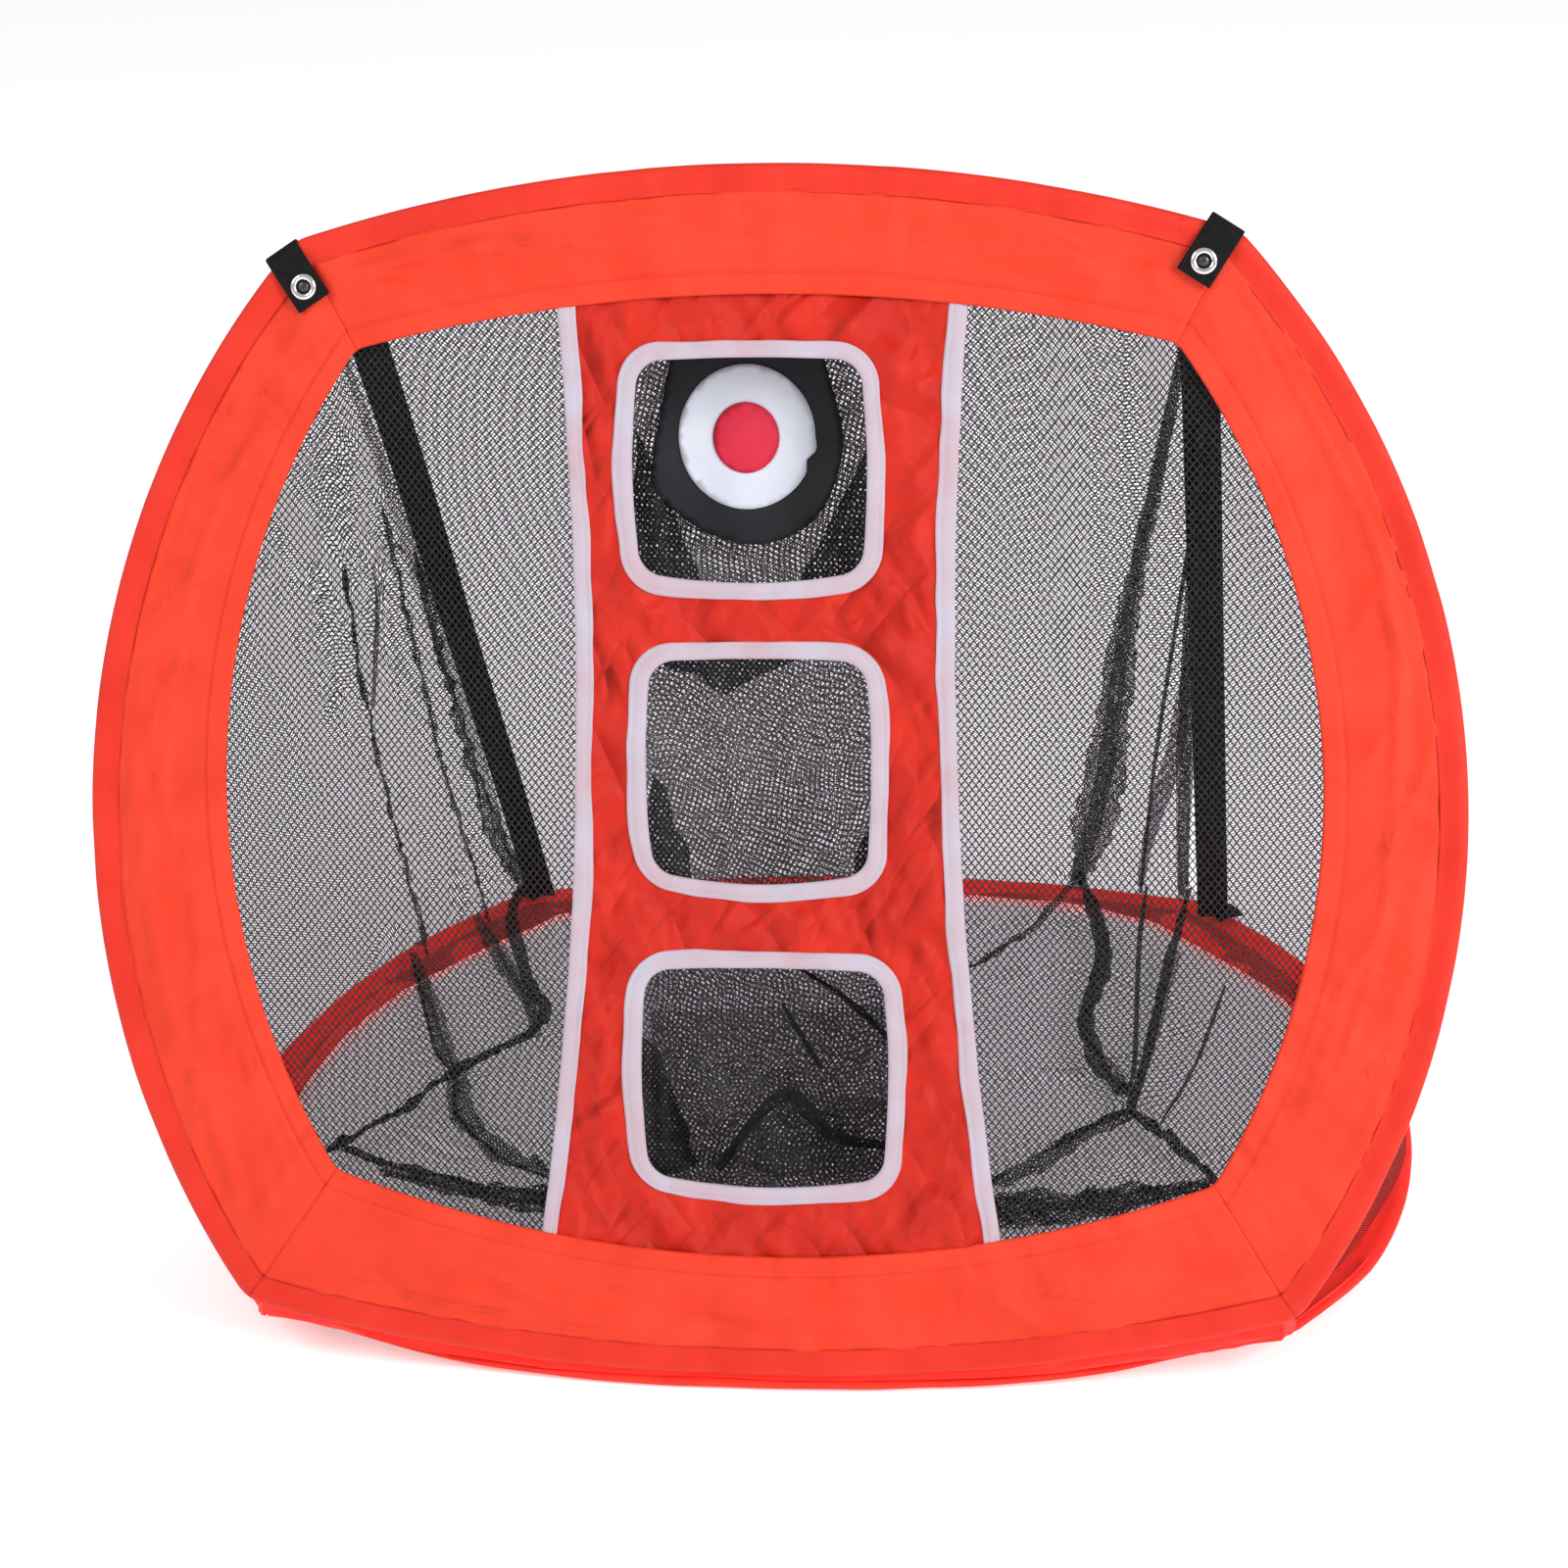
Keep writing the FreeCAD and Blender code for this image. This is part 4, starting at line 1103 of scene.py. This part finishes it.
# folds and bunches in the bag's walls: wall side, (q, t) stops, half widths, and the bunch's
# width and kind, where it has one
WALL_FOLDS = [
    (3, [(6.05, 0.82), (6.115, 0.64), (6.15, 0.52)], (0.006, 0.010, 0.006), None),
    (3, [(6.10, 0.70), (6.14, 0.52), (6.155, 0.38), (6.165, 0.25), (6.172, 0.06), (6.176, 0.0)],
     (0.005, 0.010, 0.012), (0.0045, 1)),
    (3, [(6.03, 0.72), (6.055, 0.50), (6.07, 0.29), (6.067, 0.06), (6.070, 0.0)],
     (0.007, 0.012, 0.014), (0.0045, 1)),
    (3, [(6.012, 0.64), (6.022, 0.50), (6.030, 0.33), (6.022, 0.15), (6.0, 0.02)],
     (0.010, 0.018, 0.010), (0.024, 1)),
    (2, [(4.035, 0.90), (4.084, 0.61), (4.104, 0.46), (4.130, 0.22), (4.168, 0.02)],
     (0.006, 0.010, 0.015), (0.027, 1)),
    (2, [(4.02, 0.66), (4.05, 0.36), (4.062, 0.18), (4.07, 0.03)], (0.005, 0.008, 0.006),
     (0.0025, 2)),
    (2, [(4.012, 0.80), (4.014, 0.45), (4.010, 0.20), (4.005, 0.03)], (0.006, 0.012, 0.008),
     (0.007, 1)),
]


def make_bag_nets():
    for name, side, sag in (
        ("side_net_left", 3, 0.016), ("side_net_right", 1, 0.016), ("back_net", 2, 0.022),
    ):
        qq, tt = np.meshgrid(HOOP.side(side, 210, 9), np.linspace(0, 1, 170), indexing="ij")
        surface = points = between_hoops(qq, tt, 0.0112)
        across = np.clip(qq - 2 * side, 0, 1)
        outward = np.array([0.0, *BISECTOR[1:]]) + 0 * points
        if side != 2:
            outward = np.sign(points[..., :1]) * [1.0, 0.0, 0.0]
        reach = np.sin(pi * tt) * (0.35 + 0.65 * np.sin(pi * across))
        waves = fbm(across * 5.0, tt * 1.2, 60 + side)
        points = points - outward * (reach * (sag + 0.006 * waves))[..., None]
        flat_points = points.reshape(-1, 3)
        normals = -outward.reshape(-1, 3)
        pinned = (ease(tt, 0.0, 0.05) * ease(-tt, -1.0, -0.93)).ravel()
        lines = []
        for wall, stops, widths, bunch in WALL_FOLDS:
            if wall != side:
                continue
            q, t = np.array(stops).T
            route = between_hoops(q, t) + normals[0] * (sag * 0.5 * np.sin(pi * t))[:, None]
            flat_points = gather(flat_points, normals, pinned, route, widths, 0.007)
            if bunch:
                lines.append((route + normals[0] * 0.004, *bunch))
        points = flat_points.reshape(points.shape)
        uv = pair(run_along(points[:, 60])[:, None], run_along(points, 1))
        cloth = Cloth()
        cloth.add(points, grid_faces(*points.shape[:2]), uv)
        for k, (route, wide, kind) in enumerate(lines):
            shares = np.array([0.2, 0.34, 0.52, 0.74, 1.05, 0.22]) if wide > 0.012 else np.ones(3)
            cloth.ribbon(route, wide * shares, normals[0], kind, 200 + k, 0.004, 9, 110)
        # the left side net gets the denser net: painted shade
        net = SHADED_NET if name == "side_net_left" else BAG_NET
        piece = cloth.build(name + "_mesh", [net, DENSE_NET, SEAM_NET])
        fold_between_hoops(piece, name, "black_net", surface, "hung")


# ---------------------------------------------------------------- pocket and target

# the pocket's back wall: height up the panel and depth behind it, round from roof to floor
POCKET_PROFILE = [
    (0.531, -0.006), (0.531, -0.050), (0.505, -0.062), (0.380, -0.066), (0.220, -0.088),
    (0.085, -0.112), (0.067, -0.105), (0.065, -0.008),
]
POCKET_HALF = 0.084

# darker patches of pocket net beside the lighter back panel, painted shade in its corners and
# bottom: (u, v) corners, depth and kind (1 gathered net and painted shade, 3 painted shade)
SHADED_POCKET_PATCHES = [
    ([(-0.070, 0.476), (-0.060, 0.456), (-0.036, 0.398), (-0.070, 0.398)], -0.053, 3),
    ([(0.054, 0.398), (0.012, 0.398), (0.046, 0.464), (0.062, 0.472)], -0.053, 3),
    ([(-0.076, 0.374), (0.048, 0.374), (-0.012, 0.350), (-0.022, 0.345)], -0.030, 3),
    ([(-0.064, 0.302), (-0.056, 0.296), (-0.040, 0.246), (-0.064, 0.242)], -0.040, 3),
    ([(0.060, 0.320), (0.053, 0.300), (0.036, 0.244), (0.062, 0.242)], -0.040, 3),
    ([(-0.070, 0.166), (-0.062, 0.162), (-0.040, 0.100), (-0.072, 0.088)], -0.040, 3),
    ([(-0.068, 0.180), (0.068, 0.180), (0.068, 0.084), (-0.068, 0.084)], -0.052, 1),
    ([(-0.040, 0.094), (0.068, 0.092), (0.066, 0.134), (0.004, 0.134)], -0.046, 1),
]
POCKET_LINES = [
    ([(-0.030, 0.098), (-0.010, 0.126), (0.006, 0.138), (0.018, 0.128), (0.032, 0.116),
     (0.060, 0.112)], 0.007),
    ([(0.010, 0.206), (0.040, 0.186), (0.066, 0.160)], 0.003),
    ([(0.004, 0.186), (0.014, 0.168), (0.024, 0.152)], 0.003),
]


def pocket_layer(inset, seed):
    """One layer of the pocket: a U-shaped wall that closes over at its roof and floor."""
    profile = smooth_profile(POCKET_PROFILE, 130)
    back = np.minimum(profile[:, 1] + inset, -0.006)
    half = POCKET_HALF - inset
    u = np.concatenate([np.full(12, -1.0), np.linspace(-1, 1, 60), np.full(12, 1.0)]) * half
    rise = np.linspace(0, 1, 13)[:-1]
    depth = np.concatenate([rise, np.ones(60), rise[::-1]])
    n = -0.0046 + (back[:, None] + 0.0046) * depth[None, :]
    v = np.broadcast_to(profile[:, :1], n.shape)
    uu = np.broadcast_to(u[None, :], n.shape)
    slack = ease(-n, 0.010, 0.045) * (1 - 0.75 * ease(v, 0.385, 0.415))
    uu = uu * (1 - 0.10 * slack * ease(np.abs(uu), 0.05, 0.08))
    folds = fbm(uu / 0.045, v / 0.07, seed) * 0.006
    n = n + slack * (folds + creases(uu / 0.05, v / 0.09, seed + 2) * 0.008)
    uu = uu + slack * fbm(uu / 0.06, v / 0.06, seed + 7) * 0.004
    points = on_panel(pair(uu, v), n)
    along, around = run_along(points), run_along(points, 1)
    turn = 0.12 * seed
    uv = [around * cos(turn) - along * sin(turn), around * sin(turn) + along * cos(turn)]
    return points, np.stack(uv, -1)


def smooth_profile(stops, count):
    """A polyline resampled evenly and softened at its corners."""
    stops = np.array(stops)
    s = run_along(stops)
    at = np.linspace(0, s[-1], count)
    line = np.stack([np.interp(at, s, stops[:, k]) for k in (0, 1)], -1)
    for _ in range(6):
        line[1:-1] = (line[:-2] + 2 * line[1:-1] + line[2:]) / 4
    return line


def make_pocket():
    cloth = Cloth()
    for inset, seed in ((0.0, 3), (0.005, 5)):
        points, uv = pocket_layer(inset, seed)
        cloth.add(points, grid_faces(*points.shape[:2]), uv)
    # dark net patches: painted shade, and at kind 1 gathered net as well
    for k, (corners, depth, kind) in enumerate(SHADED_POCKET_PATCHES):
        a, b, c, d = [np.array(p) for p in corners]
        s, t = np.meshgrid(np.linspace(0, 1, 24), np.linspace(0, 1, 24), indexing="ij")
        s, t = s[..., None], t[..., None]
        flat = (a * (1 - s) + b * s) * (1 - t) + (d * (1 - s) + c * s) * t
        x, y = flat[..., 0], flat[..., 1]
        sway = pair(noise(y / 0.012, 0 * x, k), noise(x / 0.012, 0 * y, k + 9))
        flat = flat + 0.0022 * sway
        n = depth + 0.006 * fbm(flat[..., 0] / 0.02, flat[..., 1] / 0.03, 300 + k)
        cloth.add(on_panel(flat, n), grid_faces(24, 24), flat, kind)
    for k, (route, wide) in enumerate(POCKET_LINES):
        line = on_panel(np.array(route), -0.034)
        widths = (wide * 0.6, wide, wide * 1.2, wide * 0.6)
        cloth.ribbon(line, widths, OUT_PANEL, 2, 320 + k, 0.002)
    piece = cloth.build("pocket_net_mesh", [POCKET_NET, POCKET_GATHER_SHADE, SEAM_NET, POCKET_SHADE])
    attach(
        piece, "front_panel", "pocket_net", "black_net", POCKET_PRESS,
        flat=(0.62, 0.66), held="gathered",
    )


def target_cloth(name, colour, loop, n, thickness, material):
    """One of the target's round cloths, n out of the panel's plane."""
    flat, tris = flat_cloth(loop, [], 0.0035)
    bend = n + fbm(flat[:, 0] / 0.06, flat[:, 1] / 0.06, 55) * 0.0022
    piece = thick_cloth(
        name + "_cloth", tris.tolist(), on_panel(flat, bend + thickness), on_panel(flat, bend),
        flat, material,
    )
    width, height = np.ptp(flat, axis=0).tolist()
    attach(
        piece, "front_panel", name, colour + "_target_cloth", POCKET_PRESS,
        flat=(width, height), held="stretched", area=min(pattern_area(flat, tris), width * height),
    )


def make_target():
    a = np.linspace(0, 2 * pi, 90, endpoint=False)
    # the backing is round below, straight on its left side and runs up behind the strip
    stops = [
        (0.0315, 0.528), (0.0365, 0.500), (0.0445, 0.470), (0.0440, 0.450), (0.0350, 0.428),
        (0.0200, 0.415), (0.0, 0.4095), (-0.0200, 0.413), (-0.0380, 0.422), (-0.0545, 0.437),
        (-0.0560, 0.446), (-0.0520, 0.470),
        (-0.0455, 0.500), (-0.0400, 0.528),
    ]
    loop = smooth_route(stops, 90)[:, :2] * (0.96, 1.0) + (-0.0080, 0.0092)
    target_cloth("target_backing", "black", loop, TARGET_N, 0.0012, TARGET_BLACK)
    notch = 1 - 0.075 * np.exp(-((a - 5.93) / 0.10) ** 2)
    notch = notch + 0.03 * np.exp(-((a - 6.11) / 0.12) ** 2)
    round_edge = pair(np.cos(a), np.sin(a))
    ring = (TARGET_U, TARGET_V) + round_edge * (0.0346, 0.0362) * notch[:, None]
    target_cloth("target_ring", "white", ring, TARGET_N + 0.0014, 0.0006, TARGET_WHITE)
    red = (TARGET_U - 0.0002, TARGET_V - 0.0004) + round_edge * (0.0168, 0.0177)
    target_cloth("target_bullseye", "red", red, TARGET_N + 0.0022, 0.0006, TARGET_RED)


# ---------------------------------------------------------------- webbing, snaps and gusset

def webbing_band(node_name, line, across, width, thickness=0.0014):
    """Flat webbing along a line of points; across gives its width direction at each point."""
    across = unit(across)
    out = np.cross(unit(np.gradient(line, axis=0)), across)
    edge = np.array([-1, -0.985, -0.9, -0.45, 0, 0.45, 0.9, 0.985, 1])
    bulk = np.array([0.15, 0.75, 1, 1, 1, 1, 1, 0.75, 0.15])
    c = np.concatenate([edge, edge[::-1]]) * width / 2
    h = np.concatenate([bulk, -bulk[::-1]]) * thickness / 2
    rings = line[:, None] + across[:, None] * c[None, :, None] + out[:, None] * h[None, :, None]
    uv = pair(c[None, :], run_along(line)[:, None])
    return skin(node_name + "_webbing", rings, uv, WEBBING)


# where each strap leaves the panel (u, v) and reaches the ground hoop (u, w)
STRAPS = {
    "left": ((-0.2035, 0.547), (-0.2120, 0.5615)),
    "right": ((0.2100, 0.547), (0.2360, 0.5400)),
}


def make_straps():
    for sign, name in HANDS:
        top, foot = STRAPS[name]
        high, low = on_panel(np.array(top), -0.0070), on_ground(np.array(foot), 0.0085)
        t = np.linspace(0, 1, 140)
        bow = 0.004 * np.sin(pi * t) + 0.0012 * np.sin(3 * pi * t)
        line = low * (1 - t[:, None]) + high * t[:, None] + BISECTOR * bow[:, None]
        turn = 0.12 * np.sin(pi * t * 1.2 + 0.4) * sign
        across = np.stack([np.cos(turn), 0.6 * np.sin(turn), np.sin(turn)], -1)
        strap = webbing_band("strap_" + name, line, across, STRAP_WIDTH)
        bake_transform(strap)
        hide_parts("strap_" + name)
        # the end turns flat and is stitched down on the sleeve
        k = np.linspace(0, 1, 24)[:, None]
        away = np.array([0.016 * sign, 0.010, 0.0])
        foot_line = low + k * away + np.array([0, 0, 1]) * (0.0012 * np.sin(pi * k) - 0.0005)
        foot_across = np.tile([0.45, -0.9 * sign, 0.0], (24, 1))
        anchor = webbing_band("strap_anchor_" + name, foot_line, foot_across, ANCHOR_WIDTH)
        attach(anchor, "base", "strap_anchor_" + name, "black_webbing")


def tab_frame(name):
    """Origin and axes of a tab's drawing: x across, y inward from the hoop's edge, n outward."""
    centre, radius, start, end = HOOP.arcs[3 if name == "right" else 5]
    outward = (start + end) / 2
    y_axis = -np.array([cos(outward), sin(outward)])
    x_axis = np.array([-sin(outward), cos(outward)])
    shift = 0.0065 if name == "right" else 0.0080
    edge = np.array(centre) - radius * y_axis
    return edge + x_axis * shift + y_axis * shift * 0.16, x_axis, y_axis


def on_tab(place, x, y, n):
    edge, x_axis, y_axis = place
    x, y, n = spread(x, y, n)
    return on_panel(edge + x[..., None] * x_axis + y[..., None] * y_axis, n)


def tab_band(place, node_name, body, y, n):
    """Webbing that follows (y, n) along the middle of a tab."""
    line = on_tab(place, 0 * y, y, n)
    side = on_tab(place, 0 * y + 0.01, y, n) - line
    attach(webbing_band(node_name, line, side, TAB_WIDTH), body, node_name, "black_webbing")


# (radius, n) stops round the snap's two metal parts
SNAP_CAP = [
    (0.0034, 0.0030), (0.0034, 0.0047), (0.0037, 0.0054), (0.0046, 0.0060), (0.0055, 0.0059),
    (0.0063, 0.0053), (0.0066, 0.0045), (0.0065, 0.0041), (0.0056, 0.0040), (0.0056, 0.0029),
]
SNAP_STUD = [
    (0.0030, 0.0006), (0.0058, 0.0008), (0.0058, 0.0014), (0.0028, 0.0016), (0.0024, 0.0024),
    (0.0027, 0.0038), (0.0026, 0.0046), (0.0018, 0.0050), (0.0006, 0.0051),
]
SNAP_Y = 0.0193


def lathe(name, place, profile, material, looped):
    """A round metal part on a tab."""
    a = np.linspace(0, 2 * pi, 40, endpoint=False)
    radius, n = np.array(profile)[..., None].transpose(1, 0, 2)
    x, y = radius * np.cos(a), SNAP_Y + radius * np.sin(a)
    return skin(name, on_tab(place, x, y, n), pair(x, y), material, looped)


def make_tabs():
    for _, name in HANDS:
        place = tab_frame(name)
        # flap: from the hoop's edge to its folded tip
        y = np.concatenate([np.linspace(-0.0012, 0.004, 12), np.linspace(0.004, 0.0288, 50)[1:]])
        arch = 0.0004 * np.sin(pi * np.clip((y - 0.004) / 0.027, 0, 1))
        n = 0.0036 + arch - 0.0006 * ease(-y, -0.002, 0.001)
        tab_band(place, "tab_flap_" + name, "snap_tab_" + name, y, n)
        # loop: up the back, round the edge and forward to the flap
        a = np.linspace(-pi / 2, pi / 2 - 0.35, 20)
        y = np.concatenate([np.linspace(0.030, 0.001, 30)[:-1], 0.0010 - 0.0030 * np.cos(a)])
        n = np.concatenate([np.full(29, -0.0037), -0.0001 + 0.0036 * np.sin(a)])
        tab_band(place, "tab_loop_" + name, "front_panel", y, n)
        cap = lathe("snap_cap_" + name + "_ring", place, SNAP_CAP, NICKEL, True)
        attach(cap, "snap_tab_" + name, "snap_cap_" + name, "nickel_snap")
        stud = lathe("snap_stud_" + name + "_post", place, SNAP_STUD, DARK_STEEL, False)
        attach(stud, "front_panel", "snap_stud_" + name, "dark_stud")


def make_gusset():
    """Red cloth that joins the two hoops along their shared edge and a little way up the sides."""
    q = np.concatenate([
        np.linspace(-1.16, -1, 24)[:-1], np.linspace(-1, 0, 14)[:-1], np.linspace(0, 1, 180)[:-1],
        np.linspace(1, 2, 14)[:-1], np.linspace(2, 2.16, 24),
    ])
    qq, tt = np.meshgrid(q, np.linspace(0, 1, 26), indexing="ij")
    flat = HOOP.at(qq, 0.004)
    low, high = on_ground(flat, 0.0046), on_panel(flat, -0.0018)
    short = ease(np.abs(qq - 0.5), 0.54, 1.66)[..., None] ** 0.8
    t3 = tt[..., None] * (1 - 0.97 * short)
    plain = points = low * (1 - t3) + high * t3
    span = np.linalg.norm(high - low, axis=-1) * (1 - short[..., 0])
    slack = np.sin(pi * tt) * (0.0008 + 0.10 * np.minimum(span, 0.06))
    wrinkle = fbm(qq * 9, tt * 1.6, 71) * 0.5 + creases(qq * 6, tt, 72) * 0.6
    points = points - (BISECTOR * (slack * (0.6 + wrinkle))[..., None])
    outer = HOOP.at(qq, -0.006)
    swell_low = on_ground(outer, 0.0046) - low
    swell_high = on_panel(outer, -0.0018) - high
    swell = (np.sin(pi * tt) * np.minimum(span / 0.045, 1.0))[..., None]
    points = points + (swell_low * (1 - t3) + swell_high * t3) * swell
    uv = pair(run_along(points[:, 12])[:, None], run_along(points, 1))
    # painted light: the gusset gets the ring's brighter, glowing red
    piece = make_object(
        "seam_gusset_cloth", points, grid_faces(*points.shape[:2]), uv, RING_RED_LIT
    )
    fold_between_hoops(piece, "seam_gusset", "red_sleeve_fabric", plain, "gathered")


make_hoop_cloth()
make_strip()
make_bindings()
make_windows()
make_floor_net()
make_bag_nets()
make_pocket()
make_target()
make_straps()
make_tabs()
make_gusset()


# ---------------------------------------------------------------- light, floor and camera

def make_stage():
    scene = bpy.context.scene
    scene.view_settings.view_transform = "Standard"
    scene.world = bpy.data.worlds.new("studio")
    scene.world.use_nodes = True
    tree = scene.world.node_tree
    fill(tree, tree.nodes["Background"], {0: (1.0, 1.0, 1.0, 1.0), 1: 0.56})

    mesh = bpy.data.meshes.new("floor")
    corners = [(30.0 * x, 30.0 * y, -0.0004) for x, y in ((-1, -1), (1, -1), (1, 1), (-1, 1))]
    mesh.from_pydata(corners, [], [(0, 1, 2, 3)])
    floor = bpy.data.objects.new("floor", mesh)
    scene.collection.objects.link(floor)
    mesh.materials.append(new_material(
        "floor_white", 0.9, Base_Color=(0.97, 0.97, 0.97, 1.0),
        Emission_Color=(1.0, 1.0, 1.0, 1.0), Emission_Strength=0.34,
    )[0])

    for name, place, size, power in (
        ("key", (2.4, -1.9, 1.9), 1.5, 92.0), ("fill", (-2.3, -1.6, 2.4), 1.6, 46.0),
    ):
        light = bpy.data.lights.new(name, "AREA")
        light.size = size
        light.energy = power
        lamp = bpy.data.objects.new(name, light)
        lamp.location = place
        aim = Vector((0, 0, 0.28)) - Vector(place)
        lamp.rotation_euler = aim.to_track_quat("-Z", "Y").to_euler()
        scene.collection.objects.link(lamp)


def make_camera():
    turn, raised, roll = radians(6.42), radians(23.57), radians(-2.21)
    place = Vector((0.1712, FRONT_EDGE_Y - 1.3561, 0.9326))
    forward = Vector((-sin(turn) * cos(raised), cos(turn) * cos(raised), -sin(raised)))
    right = Vector((cos(turn), sin(turn), 0.0))
    up = right.cross(forward)
    right, up = cos(roll) * right + sin(roll) * up, cos(roll) * up - sin(roll) * right
    data = bpy.data.cameras.new("camera")
    data.sensor_width = 36.0
    data.lens = 73.47
    camera = bpy.data.objects.new("camera", data)
    camera.matrix_world = Matrix((
        (right.x, up.x, -forward.x, place.x),
        (right.y, up.y, -forward.y, place.y),
        (right.z, up.z, -forward.z, place.z),
        (0, 0, 0, 1),
    ))
    bpy.context.scene.collection.objects.link(camera)
    bpy.context.scene.camera = camera


make_stage()
make_camera()
